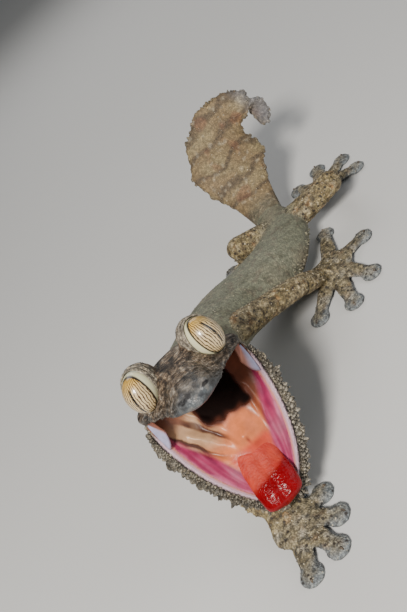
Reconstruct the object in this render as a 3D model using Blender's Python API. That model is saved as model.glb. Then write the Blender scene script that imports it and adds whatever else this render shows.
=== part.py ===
import bpy
import bmesh
import math
import random
from mathutils import Vector, Matrix

for old in list(bpy.data.objects):
    bpy.data.objects.remove(old, do_unlink=True)

# Lengths in millimetres; MM turns them into metres when a mesh is written
MM = 0.001
GAP = 0.3
SEED = 11

# Head: axes of the skull, origin midway between the corners of the mouth
MOUTH_CORNER = Vector((0.0, 0.0, 48.0))
HEAD_FORWARD = Vector((0.019, -0.922, 0.388)).normalized()
HEAD_LEFT = Vector((0.997, -0.008, -0.068)).normalized()
HEAD_UP = HEAD_FORWARD.cross(HEAD_LEFT).normalized()
HEAD_LEFT = HEAD_UP.cross(HEAD_FORWARD).normalized() * -1.0
if HEAD_LEFT.x < 0.0:
    HEAD_LEFT = -HEAD_LEFT
if HEAD_UP.z < 0.0:
    HEAD_UP = -HEAD_UP
LIP_HALF_WIDTH = 18.4
SNOUT_LENGTH = 35.4
HEAD_BACK = -12.0
PALATE_DEPTH = 4.6
LIP_THICKNESS = 2.0

# Lower jaw, swung open about the line through the corners
GAPE = math.radians(80.0)
JAW_LENGTH = 43.0
JAW_HALF_WIDTH = 18.6
JAW_LIP = 2.2
JAW_TROUGH = 5.4
JAW_LEDGE = 2.6

# Eyes
EYE_CENTRE = (11.2, 10.2, 10.5)
EYE_RADIUS = 6.2
EYE_AXIS = (0.42, 0.03, 0.90)

# Spine from the back of the skull to the root of the tail
SPINE = [
    (-0.2, 11.1, 43.3),
    (2.0, 21.0, 37.6),
    (8.0, 37.0, 30.0),
    (21.0, 54.0, 22.5),
    (36.6, 62.3, 17.2),
    (50.8, 71.2, 14.4),
    (61.5, 84.5, 12.8),
    (63.3, 100.3, 13.2),
]
SPINE_HALF_WIDTH = [12.6, 11.2, 13.4, 14.6, 13.6, 11.8, 9.2, 6.6]
SPINE_ABOVE = [10.6, 9.2, 9.4, 9.8, 9.4, 8.6, 6.8, 5.2]
SPINE_BELOW = [11.0, 9.2, 9.8, 10.4, 10.0, 9.0, 7.0, 5.2]
SPINE_CUTS = [0.0, 0.20, 0.45, 0.72, 1.0]
TORSO_NAMES = ["neck", "chest", "belly", "hips"]

# Tail, a flat leaf that lifts and curls over at the end
TAIL = [
    (63.3, 100.3, 13.2),
    (65.3, 111.5, 20.5),
    (67.2, 121.0, 30.0),
    (70.5, 129.0, 38.0),
    (77.0, 133.3, 44.0),
    (86.1, 132.0, 46.5),
    (93.6, 128.5, 42.0),
    (92.6, 129.0, 32.0),
]
TAIL_SIDE = [
    (0.80, -0.60, 0.0),
    (0.93, -0.36, -0.05),
    (0.955, -0.22, -0.20),
    (0.955, -0.18, -0.25),
    (0.88, -0.22, -0.42),
    (0.72, -0.38, -0.58),
    (0.62, -0.52, -0.55),
    (0.62, -0.50, -0.50),
]
TAIL_HALF_WIDTH = [6.4, 9.4, 14.6, 15.8, 11.4, 7.6, 5.0, 2.4]
TAIL_HALF_THICK = [5.0, 3.7, 2.5, 2.0, 1.7, 1.5, 1.3, 0.9]
TAIL_CUTS = [0.0, 0.16, 0.45, 1.0]
TAIL_NAMES = ["tail_base", "tail_leaf", "tail_tip"]

# Legs: path from the girdle to the wrist, then the middle of the palm
LEGS = {
    "arm_left": {
        "path": [(9.0, 34.0, 29.0), (24.0, 36.0, 27.2), (45.5, 42.2, 18.6), (54.6, 54.8, 7.0)],
        "across": [(0.2, -0.7, 0.6), (0.2, -0.7, 0.6), (0.4, -0.8, 0.2), (0.6, -0.8, 0.0)],
        "wide": [6.2, 5.8, 5.0, 4.5],
        "thick": [5.4, 4.8, 4.0, 3.2],
        "names": ["upper_arm_left", "forearm_left", "hand_left"],
        "fringe": 1.0,
        "palm": (62.0, 57.6),
        "toes": [(66.0, 25.5), (12.0, 17.5), (-66.0, 17.8), (-104.0, 22.0), (-141.0, 22.5)],
    },
    "arm_right": {
        "path": [(5.0, 36.0, 29.0), (-6.0, 30.0, 26.5), (-16.0, 8.0, 19.0), (-9.5, -15.0, 7.0)],
        "across": [(-0.9, 0.2, 0.3), (-0.9, 0.3, 0.3), (-0.9, -0.1, 0.2), (-0.95, -0.3, 0.0)],
        "wide": [6.2, 5.8, 5.0, 4.5],
        "thick": [5.4, 4.8, 4.0, 3.2],
        "names": ["upper_arm_right", "forearm_right", "hand_right"],
        "fringe": 1.0,
        "palm": (-8.0, -22.0),
        "toes": [(62.0, 11.5), (14.0, 12.0), (-34.0, 13.5), (-72.0, 17.0), (-108.0, 17.5)],
    },
    "leg_left": {
        "path": [(61.0, 88.0, 12.6), (73.0, 84.0, 14.5), (87.0, 80.0, 17.0), (89.0, 96.5, 7.0)],
        "across": [(0.4, 0.9, 0.2), (0.4, 0.9, 0.2), (0.9, 0.1, 0.3), (0.95, 0.1, 0.0)],
        "wide": [6.2, 5.6, 4.8, 3.6],
        "thick": [5.6, 5.0, 4.2, 3.0],
        "names": ["thigh_left", "shank_left", "foot_left"],
        "fringe": 1.0,
        "palm": (89.0, 104.5),
        "toes": [(-12.0, 15.5), (32.0, 18.5), (70.0, 19.5), (108.0, 18.0), (152.0, 15.5)],
    },
    "leg_right": {
        "path": [(61.0, 87.5, 12.8), (54.5, 89.5, 15.5), (44.0, 89.5, 19.5), (47.0, 95.0, 7.0)],
        "across": [(0.4, -0.9, 0.2), (0.4, -0.9, 0.2), (-0.8, -0.5, 0.3), (-0.95, 0.1, 0.0)],
        "wide": [6.2, 5.8, 5.4, 3.6],
        "thick": [5.6, 5.2, 4.8, 3.0],
        "names": ["thigh_right", "shank_right", "foot_right"],
        "fringe": 1.0,
        "palm": (49.0, 101.0),
        "toes": [(22.0, 13.5), (62.0, 16.0), (99.0, 17.0), (137.0, 16.0), (175.0, 13.5)],
    },
}
PAD_RADIUS = 3.7
PAD_HEIGHT = 2.2

# Colours of the plain solids
SKIN = (0.33, 0.28, 0.21, 1.0)
PALE_SKIN = (0.45, 0.40, 0.31, 1.0)
MOUTH_PINK = (0.62, 0.16, 0.11, 1.0)
EYE_GOLD = (0.72, 0.58, 0.33, 1.0)


def paint(name, colour, rough):
    """A plain Principled material for one part."""
    made = bpy.data.materials.new(name)
    made.use_nodes = True
    shader = made.node_tree.nodes["Principled BSDF"]
    shader.inputs["Base Color"].default_value = colour
    shader.inputs["Roughness"].default_value = rough
    made.diffuse_color = colour
    return made


def in_head(left, up, forward):
    """Point given along the skull's own axes."""
    return MOUTH_CORNER + HEAD_LEFT * left + HEAD_UP * up + HEAD_FORWARD * forward


JAW_FORWARD = HEAD_FORWARD * math.cos(GAPE) - HEAD_UP * math.sin(GAPE)
JAW_UP = HEAD_FORWARD * math.sin(GAPE) + HEAD_UP * math.cos(GAPE)


def in_jaw(left, up, along):
    """Point given along the open lower jaw's own axes."""
    return MOUTH_CORNER + HEAD_LEFT * left + JAW_UP * up + JAW_FORWARD * along


def blend(values, t, before=None, after=None):
    """Smooth value at t (0 to 1) from evenly spaced numbers or points."""
    last = len(values) - 1
    place = min(max(t, 0.0), 1.0) * last
    i = min(int(place), last - 1)
    f = place - i
    p1 = values[i]
    p2 = values[i + 1]
    p0 = values[i - 1] if i > 0 else (before or p1 * 2.0 - p2)
    p3 = values[i + 2] if i + 2 <= last else (after or p2 * 2.0 - p1)
    a = p1 * 2.0
    b = p2 - p0
    c = p0 * 2.0 - p1 * 5.0 + p2 * 4.0 - p3
    d = p1 * 3.0 - p2 * 3.0 + p3 - p0
    return (a + b * f + c * (f * f) + d * (f * f * f)) * 0.5


def table(points, x):
    """Straight-line reading of a small table of (x, y) pairs."""
    if x <= points[0][0]:
        return points[0][1]
    for (x0, y0), (x1, y1) in zip(points[:-1], points[1:]):
        if x <= x1:
            return y0 + (y1 - y0) * (x - x0) / (x1 - x0)
    return points[-1][1]


def ease(edge0, edge1, x):
    """0 below edge0, 1 above edge1, smooth between."""
    f = min(max((x - edge0) / (edge1 - edge0), 0.0), 1.0)
    return f * f * (3.0 - 2.0 * f)


def power(x, p):
    """Signed power."""
    return math.copysign(abs(x) ** p, x)


def oval(centre, side, up, wide, above, below, count, square=2.0):
    """Closed rounded section; above and below are its two half heights."""
    ring = []
    for k in range(count):
        angle = 2.0 * math.pi * k / count
        x = wide * power(math.cos(angle), 2.0 / square)
        y = power(math.sin(angle), 2.0 / square)
        y = y * above if y > 0.0 else y * below
        ring.append(centre + side * x + up * y)
    return ring


def skin_rings(rings):
    """Mesh of a row of sections of equal count, closed at both ends."""
    mesh = bmesh.new()
    rows = [[mesh.verts.new(point * MM) for point in ring] for ring in rings]
    count = len(rings[0])
    for near, far in zip(rows[:-1], rows[1:]):
        for k in range(count):
            n = (k + 1) % count
            mesh.faces.new((near[k], near[n], far[n], far[k]))
    for row in (rows[0], rows[-1]):
        middle = Vector((0.0, 0.0, 0.0))
        for vert in row:
            middle += vert.co
        hub = mesh.verts.new(middle / count)
        for k in range(count):
            mesh.faces.new((row[k], row[(k + 1) % count], hub))
    bmesh.ops.recalc_face_normals(mesh, faces=mesh.faces)
    return mesh


def add(name, mesh, material, smooth=True):
    """Puts a mesh in the scene under its part name."""
    bmesh.ops.triangulate(mesh, faces=mesh.faces)
    bmesh.ops.recalc_face_normals(mesh, faces=mesh.faces)
    data = bpy.data.meshes.new(name)
    mesh.to_mesh(data)
    mesh.free()
    made = bpy.data.objects.new(name, data)
    bpy.context.scene.collection.objects.link(made)
    if material is not None:
        data.materials.append(material)
    for face in data.polygons:
        face.use_smooth = smooth
    return made


def boolean(target, tools, operation):
    """Applies one Boolean of a list of objects to the target and removes them."""
    group = bpy.data.collections.new("tools")
    bpy.context.scene.collection.children.link(group)
    for tool in tools:
        bpy.context.scene.collection.objects.unlink(tool)
        group.objects.link(tool)
    step = target.modifiers.new("cut", "BOOLEAN")
    step.operation = operation
    step.operand_type = "COLLECTION"
    step.collection = group
    for solver in ("EXACT", "MANIFOLD"):
        step.solver = solver
        bpy.context.view_layer.update()
        seen = target.evaluated_get(bpy.context.evaluated_depsgraph_get())
        result = bmesh.new()
        result.from_mesh(seen.to_mesh())
        seen.to_mesh_clear()
        tidy(result)
        if all(len(edge.link_faces) == 2 for edge in result.edges):
            break
    target.modifiers.clear()
    for tool in tools:
        bpy.data.objects.remove(tool, do_unlink=True)
    bpy.data.collections.remove(group)
    result.to_mesh(target.data)
    result.free()
    for face in target.data.polygons:
        face.use_smooth = True
    target.data.update()


def tidy(mesh):
    """Merges doubled points, keeps the largest closed surface, triangulates."""
    bmesh.ops.remove_doubles(mesh, verts=mesh.verts, dist=0.000004)
    bmesh.ops.dissolve_degenerate(mesh, edges=mesh.edges, dist=0.000004)
    left = set(mesh.verts)
    islands = []
    while left:
        start = left.pop()
        island = [start]
        todo = [start]
        while todo:
            vert = todo.pop()
            for edge in vert.link_edges:
                other = edge.other_vert(vert)
                if other in left:
                    left.remove(other)
                    island.append(other)
                    todo.append(other)
        islands.append(island)
    islands.sort(key=len)
    for island in islands[:-1]:
        bmesh.ops.delete(mesh, geom=island, context="VERTS")
    bmesh.ops.triangulate(mesh, faces=mesh.faces)
    bmesh.ops.recalc_face_normals(mesh, faces=mesh.faces)


def ball(name, centre, sizes, axes, detail, material=None):
    """An ellipsoid with its own axes."""
    mesh = bmesh.new()
    bmesh.ops.create_uvsphere(mesh, u_segments=detail, v_segments=detail // 2, radius=1.0)
    left, up, out = axes
    for vert in mesh.verts:
        c = vert.co
        place = centre + left * (c.x * sizes[0]) + up * (c.y * sizes[1]) + out * (c.z * sizes[2])
        vert.co = place * MM
    return add(name, mesh, material)


def block(name, frame_point, spans):
    """A box with corners given in the skull's or the jaw's axes."""
    (l0, l1), (u0, u1), (f0, f1) = spans
    mesh = bmesh.new()
    made = bmesh.ops.create_cube(mesh, size=1.0)
    for vert in made["verts"]:
        left = l0 if vert.co.x < 0 else l1
        up = u0 if vert.co.y < 0 else u1
        along = f0 if vert.co.z < 0 else f1
        vert.co = frame_point(left, up, along) * MM
    return add(name, mesh, None)


def head_section(forward):
    """One section of the skull: arched top, lips at the sides, hollow palate."""
    f = max(forward, 0.0)
    lip = LIP_HALF_WIDTH * max(1.0 - (f / SNOUT_LENGTH) ** 1.25, 0.0) ** (1.0 / 1.32)
    lip += 2.6 * ease(22.0, 30.0, f) * math.sqrt(max(1.0 - ((f - 24.0) / 10.9) ** 2, 0.0))
    lip = max(lip, 1.4)
    lip += table([(-12.0, -4.6), (-6.0, -1.2), (0.0, 0.0), (2.0, 0.0)], forward)
    top = table(
        [(-12.0, 10.2), (-6.0, 11.2), (0.0, 11.6), (7.0, 11.2), (14.0, 10.6), (20.0, 9.6),
         (27.0, 7.8), (31.0, 6.9), (33.4, 5.4), (34.6, 3.6), (35.0, 2.4)],
        forward,
    )
    waist = table([(-12.0, 0.86), (0.0, 0.80), (8.0, 0.70), (18.0, 0.66), (30.0, 0.86)], forward)
    hollow = PALATE_DEPTH * ease(-5.5, 1.0, forward) * (1.0 - ease(26.0, 33.0, forward))
    inner = max(lip - LIP_THICKNESS, lip * 0.55)
    droop = -1.6 * ease(0.0, 12.0, forward)
    ring = []
    steps = 20
    for k in range(steps + 1):
        angle = math.pi * k / steps
        c = math.cos(angle)
        s = math.sin(angle)
        pull = 1.0 - (1.0 - waist) * ease(0.12, 0.62, s)
        x = lip * pull * power(c, 0.80)
        y = top * s ** 0.90
        ring.append((x, y - droop * (1.0 - s) ** 3))
    under = 10
    for k in range(1, under):
        angle = math.pi * k / under
        c = -math.cos(angle)
        s = math.sin(angle)
        x = inner * power(c, 0.75)
        y = hollow * s ** 0.6
        ring.append((x, y - droop * (1.0 - s) ** 3))
    return [in_head(x, y, forward) for x, y in ring]


def build_head(material):
    """Skull with brows, eye sockets, lids, nostrils, ear cups and palate."""
    stations = [-12.0, -9.0, -5.5, -2.5, 0.5, 3.5, 7.0, 11.0, 15.0, 19.0, 22.5, 25.5, 28.0, 30.2,
                31.8, 33.0, 33.9, 34.5, 34.85]
    head = add("head", skin_rings([head_section(f) for f in stations]), material)
    bumps = []
    holes = []
    for side in (1.0, -1.0):
        out = HEAD_LEFT * (EYE_AXIS[0] * side) + HEAD_UP * EYE_AXIS[1] + HEAD_FORWARD * EYE_AXIS[2]
        out.normalize()
        along = (HEAD_FORWARD - out * HEAD_FORWARD.dot(out)).normalized()
        across = out.cross(along)
        centre = in_head(EYE_CENTRE[0] * side, EYE_CENTRE[1], EYE_CENTRE[2])
        rim = centre - out * 2.2
        bumps.append(ball("brow", rim, (7.0, 7.0, 6.6), (along, across, out), 14))
        hollow = EYE_RADIUS + GAP
        holes.append(ball("socket", centre, (hollow, hollow, hollow), (along, across, out), 16))
        nose = in_head(3.7 * side, 4.6, 33.5)
        bumps.append(ball("nostril_rim", nose - HEAD_FORWARD * 1.2, (2.1, 1.9, 2.2),
                          (HEAD_LEFT, HEAD_UP, HEAD_FORWARD), 8))
        hole = in_head(3.9 * side, 4.9, 34.5)
        holes.append(ball("nostril", hole, (0.8, 0.7, 1.3),
                          (HEAD_LEFT, HEAD_UP, HEAD_FORWARD), 8))
        ear = in_head(15.2 * side, 4.2, -7.4)
        holes.append(ball("ear_cup", ear, (1.7, 2.1, 1.3),
                          (HEAD_LEFT, HEAD_UP, HEAD_FORWARD), 8))
    boolean(head, bumps, "UNION")
    holes.append(ball("gullet", in_head(0.0, -0.6, -4.0), (7.0, 4.6, 5.4),
                      (HEAD_LEFT, HEAD_UP, HEAD_FORWARD), 12))
    boolean(head, holes, "DIFFERENCE")
    return head


def jaw_width(along):
    """Half width of the jaw's rim."""
    f = min(max(along, 0.0) / JAW_LENGTH, 1.0)
    return JAW_HALF_WIDTH * max(1.0 - f ** 2.05, 0.0) ** (1.0 / 1.5)


def jaw_section(along):
    """One section of the lower jaw: trough with a lip, rounded underneath."""
    lip = max(jaw_width(along), 1.6)
    deep = table([(-3.0, 11.3), (4.0, 11.3), (12.0, 9.4), (24.0, 7.6), (34.0, 6.0), (40.0, 4.4),
                  (42.9, 2.4)], along)
    ledge = JAW_LEDGE * ease(-2.0, 9.0, along) * (1.0 - 0.35 * ease(38.0, 42.8, along))
    ring = [(lip, 0.0), (lip + ledge * 0.45, -0.9)]
    steps = 14
    for k in range(steps + 1):
        angle = math.pi * k / steps
        c = math.cos(angle)
        s = math.sin(angle)
        ring.append(((lip + ledge) * power(c, 0.82), -1.9 - (deep - 1.9) * s ** 0.85))
    ring.append((-lip - ledge * 0.45, -0.9))
    ring.append((-lip, 0.0))
    inner = max(lip - JAW_LIP, lip * 0.5)
    hollow = JAW_TROUGH * (1.0 - ease(36.0, 41.4, along))
    under = 13
    for k in range(1, under):
        angle = math.pi * k / under
        c = -math.cos(angle)
        s = math.sin(angle)
        ring.append((inner * power(c, 0.8), -hollow * s ** 0.7))
    return [in_jaw(x, y, along) for x, y in ring]


def lobe(base, out, along, length, wide, thick):
    """One tapered skin lobe, rooted in the flesh and bent a little at the tip."""
    out = out.normalized()
    along = (along - out * along.dot(out)).normalized()
    over = out.cross(along)
    rings = []
    for reach, size, lean in ((-1.1, 1.0, 0.0), (length * 0.5, 0.8, 0.3), (length, 0.16, 0.9)):
        centre = base + out * reach + along * lean
        rings.append(oval(centre, along, over, wide * size, thick * size, thick * size, 5))
    return add("lobe", skin_rings(rings), None)


def jaw_lobes(rng):
    """Fringe of lobes along the outer edge of the lower jaw."""
    lobes = []
    for side in (1.0, -1.0):
        along = 6.0
        while along < 41.5:
            lip = jaw_width(along)
            ahead = jaw_width(along + 0.5)
            edge = lip + JAW_LEDGE * ease(-2.0, 9.0, along) - 0.6
            base = in_jaw(side * edge, -2.4 - rng.uniform(0.0, 0.5), along)
            out = HEAD_LEFT * side - JAW_UP * 0.35 + JAW_FORWARD * (0.25 + (lip - ahead))
            run = JAW_FORWARD - HEAD_LEFT * (side * (lip - ahead) * 2.0)
            length = rng.uniform(1.7, 3.1)
            lobes.append(lobe(base, out, run, length, rng.uniform(1.0, 1.5), 0.55))
            along += rng.uniform(3.2, 4.8) / (1.0 + 1.2 * ease(32.0, 42.0, along))
    return lobes


def torso_lobes(rng, t0, t1):
    """Loose lobes of the skin fold along both flanks."""
    lobes = []
    for side in (1.0, -1.0):
        t = max(t0 + 0.02, 0.80 if side > 0.0 else 0.38)
        while t < t1 - 0.02:
            here, ahead, across, up = spine_frame(t)
            wide = blend(SPINE_HALF_WIDTH, t)
            below = blend(SPINE_BELOW, t)
            base = here + across * (side * (wide * 0.95 - 0.5)) - up * (below * 0.34)
            length = rng.uniform(1.8, 3.0)
            lobes.append(lobe(base, across * side - up * 0.45, ahead, length,
                              rng.uniform(1.2, 1.9), 0.6))
            t += rng.uniform(0.040, 0.055)
    return lobes


def limb_lobes(rng, frame, wide, edge, count):
    """Serrated fringe along the trailing edge of a limb."""
    lobes = []
    for k in range(count):
        t = 0.30 + 0.62 * (k + 0.5) / count
        here, ahead, side, up = frame(t)
        base = here + side * (edge * (wide - 0.5)) - up * 0.6
        lobes.append(lobe(base, side * edge - up * 0.2, ahead, rng.uniform(1.2, 2.2),
                          rng.uniform(0.8, 1.2), 0.55))
    return lobes


def build_jaw(material, rng):
    """Lower jaw, open; cut level under the skull and flat against the neck."""
    stations = [-3.0, 0.0, 3.5, 7.5, 12.0, 17.0, 22.0, 26.5, 30.5, 34.0, 37.0, 39.4, 41.2, 42.3,
                42.8]
    jaw = add("lower_jaw", skin_rings([jaw_section(s) for s in stations]), material)
    level = block("level", in_head, ((-40.0, 40.0), (-GAP, 30.0), (-40.0, 40.0)))
    behind = block("behind", in_head, ((-40.0, 40.0), (-30.0, 30.0), (-40.0, HEAD_BACK + GAP)))
    gullet = ball("gullet", in_head(0.0, -0.6, -4.0), (7.0, 4.6, 5.4),
                  (HEAD_LEFT, HEAD_UP, HEAD_FORWARD), 12)
    boolean(jaw, [level, behind, gullet], "DIFFERENCE")
    boolean(jaw, jaw_lobes(rng), "UNION")
    return jaw


def build_tongue(material):
    """Broad tongue lying in the trough; its round tip hangs over the lip."""
    path = [(-3.5, 9.0), (-2.6, 16.0), (-1.3, 24.0), (1.6, 31.5), (3.1, 38.0), (3.3, 43.6)]
    wide = [5.6, 8.8, 9.8, 8.8, 7.4, 5.8]
    thick = [1.1, 2.0, 2.3, 2.4, 2.4, 2.3]
    rings = []
    for k in range(12):
        t = k / 11.0
        points = [Vector((0.0, up, along)) for up, along in path]
        here = blend(points, t)
        ahead = blend(points, min(t + 0.01, 1.0)) - blend(points, max(t - 0.01, 0.0))
        ahead.normalize()
        rise = Vector((0.0, ahead.z, -ahead.y))
        w = blend(wide, t)
        h = blend(thick, t)
        ring = []
        for n in range(16):
            angle = 2.0 * math.pi * n / 16
            x = w * power(math.cos(angle), 0.8)
            y = h * power(math.sin(angle), 0.8)
            point = here + rise * y
            ring.append(in_jaw(x, point.y, point.z))
        rings.append(ring)
    for shrink, step in ((0.72, 1.2), (0.38, 1.8)):
        point = blend(points, 1.0) + ahead * step
        ring = []
        for n in range(16):
            angle = 2.0 * math.pi * n / 16
            x = wide[-1] * shrink * power(math.cos(angle), 0.8)
            y = thick[-1] * shrink * power(math.sin(angle), 0.8)
            spot = point + rise * y
            ring.append(in_jaw(x, spot.y, spot.z))
        rings.append(ring)
    return add("tongue", skin_rings(rings), material)


def build_eyes(material):
    """Two round eyes seated in their sockets."""
    for name, side in (("eye_left", 1.0), ("eye_right", -1.0)):
        out = HEAD_LEFT * (EYE_AXIS[0] * side) + HEAD_UP * EYE_AXIS[1] + HEAD_FORWARD * EYE_AXIS[2]
        out.normalize()
        along = (HEAD_FORWARD - out * HEAD_FORWARD.dot(out)).normalized()
        across = out.cross(along)
        centre = in_head(EYE_CENTRE[0] * side, EYE_CENTRE[1], EYE_CENTRE[2])
        ball(name, centre, (EYE_RADIUS, EYE_RADIUS, EYE_RADIUS), (along, across, out), 18, material)


def heading(points, t, before=None, after=None):
    """Place and direction on a path at t."""
    here = blend(points, t, before, after)
    near = blend(points, max(t - 0.004, 0.0), before, after)
    far = blend(points, min(t + 0.004, 1.0), before, after)
    return here, (far - near).normalized()


def path_frame(points, sides, t, before=None):
    """Centre, tangent, side and up of a path at t."""
    here, ahead = heading(points, t, before)
    side = blend(sides, t)
    side = (side - ahead * side.dot(ahead)).normalized()
    up = side.cross(ahead).normalized()
    if up.z < 0.0 and abs(ahead.z) < 0.9:
        up = -up
    return here, ahead, side, up


def spine_frame(t):
    """Frame of the spine, level from side to side; head end turned to the skull."""
    here, ahead = heading([Vector(p) for p in SPINE], t, None, Vector(TAIL[1]))
    turn = ease(0.0, 0.12, t)
    ahead = (-HEAD_FORWARD * (1.0 - turn) + ahead * turn).normalized()
    side = ahead.cross(Vector((0.0, 0.0, 1.0)))
    if side.x < 0.0 and t < 0.5:
        side = -side
    if t >= 0.5 and side.dot(Vector((1.0, -0.5, 0.0))) < 0.0:
        side = -side
    side = (HEAD_LEFT * (1.0 - turn) + side.normalized() * turn)
    side = (side - ahead * side.dot(ahead)).normalized()
    up = side.cross(ahead)
    if up.z < 0.0:
        up = -up
    return here, ahead, side, up.normalized()


def spine_ring(t, shift=0.0, grow=0.0, count=22):
    """One section of neck or trunk, moved along the path by shift."""
    here, ahead, side, up = spine_frame(t)
    wide = blend(SPINE_HALF_WIDTH, t) + grow
    above = blend(SPINE_ABOVE, t) + grow
    below = blend(SPINE_BELOW, t) + grow
    square = 2.0 + 0.25 * math.sin(math.pi * t)
    return oval(here + ahead * shift, side, up, wide, above, below, count, square)


def build_torso(material, rng):
    """Neck, chest, belly and hips, cut face to face."""
    for name, t0, t1 in zip(TORSO_NAMES, SPINE_CUTS[:-1], SPINE_CUTS[1:]):
        steps = max(4, round((t1 - t0) * 28))
        start = GAP if t0 == 0.0 else GAP / 2.0
        rings = [spine_ring(t0, start)]
        for k in range(1, steps):
            rings.append(spine_ring(t0 + (t1 - t0) * k / steps))
        rings.append(spine_ring(t1, -GAP / 2.0))
        part = add(name, skin_rings(rings), material)
        if name in ("chest", "belly"):
            boolean(part, torso_lobes(rng, t0, t1), "UNION")


def notch(x):
    """Uneven wave for the notched edge of the leaf, between -1 and 1."""
    return 0.55 * math.sin(x * 2.1) + 0.45 * math.sin(x * 5.3 + 1.0)


def tail_ring(t, shift=0.0, count=18):
    """One flat section of the tail with thin edges."""
    points = [Vector(p) for p in TAIL]
    sides = [Vector(p) for p in TAIL_SIDE]
    here, ahead, side, up = path_frame(points, sides, t, Vector(SPINE[-2]))
    wide = blend(TAIL_HALF_WIDTH, t)
    thick = max(blend(TAIL_HALF_THICK, t), 0.8)
    leaf = ease(0.10, 0.36, t)
    left_edge = 1.0 + 0.11 * leaf * notch(t * 11.0 + 0.4)
    right_edge = 1.0 + 0.11 * leaf * notch(t * 10.0 + 3.7)
    centre = here + ahead * shift
    ring = []
    for k in range(count):
        angle = 2.0 * math.pi * k / count
        c = math.cos(angle)
        s = math.sin(angle)
        edge = 0.35 * leaf
        x = wide * power(c, 1.0 - 0.25 * leaf) * (left_edge if c > 0.0 else right_edge)
        y = thick * power(s, 1.0 + 0.3 * leaf)
        y += power(s, 0.5) * edge if abs(s) > 0.01 else 0.0
        ring.append(centre + side * x + up * y)
    return ring


def build_tail(material):
    """Leaf tail in three lengths."""
    for name, t0, t1 in zip(TAIL_NAMES, TAIL_CUTS[:-1], TAIL_CUTS[1:]):
        steps = max(5, round((t1 - t0) * 34))
        rings = [tail_ring(t0, GAP / 2.0)]
        for k in range(1, steps):
            rings.append(tail_ring(t0 + (t1 - t0) * k / steps))
        rings.append(tail_ring(t1, -GAP / 2.0 if t1 < 1.0 else 0.0))
        add(name, skin_rings(rings), material)


def upper_rings(leg, grow=0.0, count=12):
    """Upper arm or thigh: starts inside the trunk, ends in a round elbow or knee."""
    points = [Vector(p) for p in leg["path"][:3]]
    sides = [Vector(p).normalized() for p in leg["across"][:3]]
    rings = []
    for k in range(8):
        t = k / 7.0
        here, ahead, side, up = path_frame(points, sides, t)
        wide = blend(leg["wide"][:3], t) + grow
        thick = blend(leg["thick"][:3], t) + grow
        rings.append(oval(here, side, up, wide, thick, thick, count))
    for angle in (0.5, 1.0, 1.35):
        size = math.cos(angle)
        centre = here + ahead * (thick * math.sin(angle))
        rings.append(oval(centre, side, up, wide * size, thick * size, thick * size, count))
    return rings


def lower_frame(leg, t):
    """Frame on the forearm or shank."""
    points = [Vector(p) for p in leg["path"][2:]]
    sides = [Vector(p).normalized() for p in leg["across"][2:]]
    return path_frame(points, sides, t)


def lower_rings(leg, count=12):
    """Forearm or shank, from inside the elbow or knee to the wrist."""
    rings = []
    for k in range(8):
        t = k / 7.0
        here, ahead, side, up = lower_frame(leg, t)
        swell = 1.0 + 0.10 * math.sin(math.pi * t) - 0.30 * (1.0 - ease(0.0, 0.30, t))
        wide = blend(leg["wide"][2:], t) * swell
        thick = blend(leg["thick"][2:], t) * swell
        back = GAP / 2.0 if k == 7 else 0.0
        rings.append(oval(here - ahead * back, side, up, wide, thick, thick, count))
    return rings


def torso_cutter():
    """The whole trunk, grown by the gap, to seat the limbs on it."""
    rings = [spine_ring(k / 40.0, 0.0, GAP) for k in range(41)]
    return add("seat", skin_rings(rings), None)


def toe(name, start, pad, lift):
    """A toe with a rounded knuckle, thinner before its pad."""
    flat = Vector((pad.x - start.x, pad.y - start.y, 0.0))
    length = flat.length
    flat.normalize()
    side = Vector((-flat.y, flat.x, 0.0))
    up = Vector((0.0, 0.0, 1.0))
    rings = []
    for t, wide, high, rise in ((0.0, 3.6, 1.9, 2.7), (0.45, 3.1, 1.5, 2.2),
                                (0.78, 2.6, 1.1, 1.6), (1.0, 2.0, 0.6, 1.4)):
        centre = start + flat * (length * t)
        centre.z = rise + lift * (1.0 - t)
        rings.append(oval(centre, side, up, wide, high, high, 7))
    return add(name, skin_rings(rings), None)


def pad_disc(name, centre, flat):
    """Round toe pad with a flat sole and a low crown."""
    side = Vector((-flat.y, flat.x, 0.0))
    rings = []
    for z, size in ((0.0, 0.84), (0.5, 1.0), (1.4, 0.9), (PAD_HEIGHT, 0.42)):
        ring = []
        for k in range(9):
            angle = 2.0 * math.pi * k / 9
            point = flat * (math.cos(angle) * PAD_RADIUS * size)
            point += side * (math.sin(angle) * PAD_RADIUS * size * 1.04)
            ring.append(Vector((centre.x + point.x, centre.y + point.y, z)))
        rings.append(ring)
    return add(name, skin_rings(rings), None)


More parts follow.
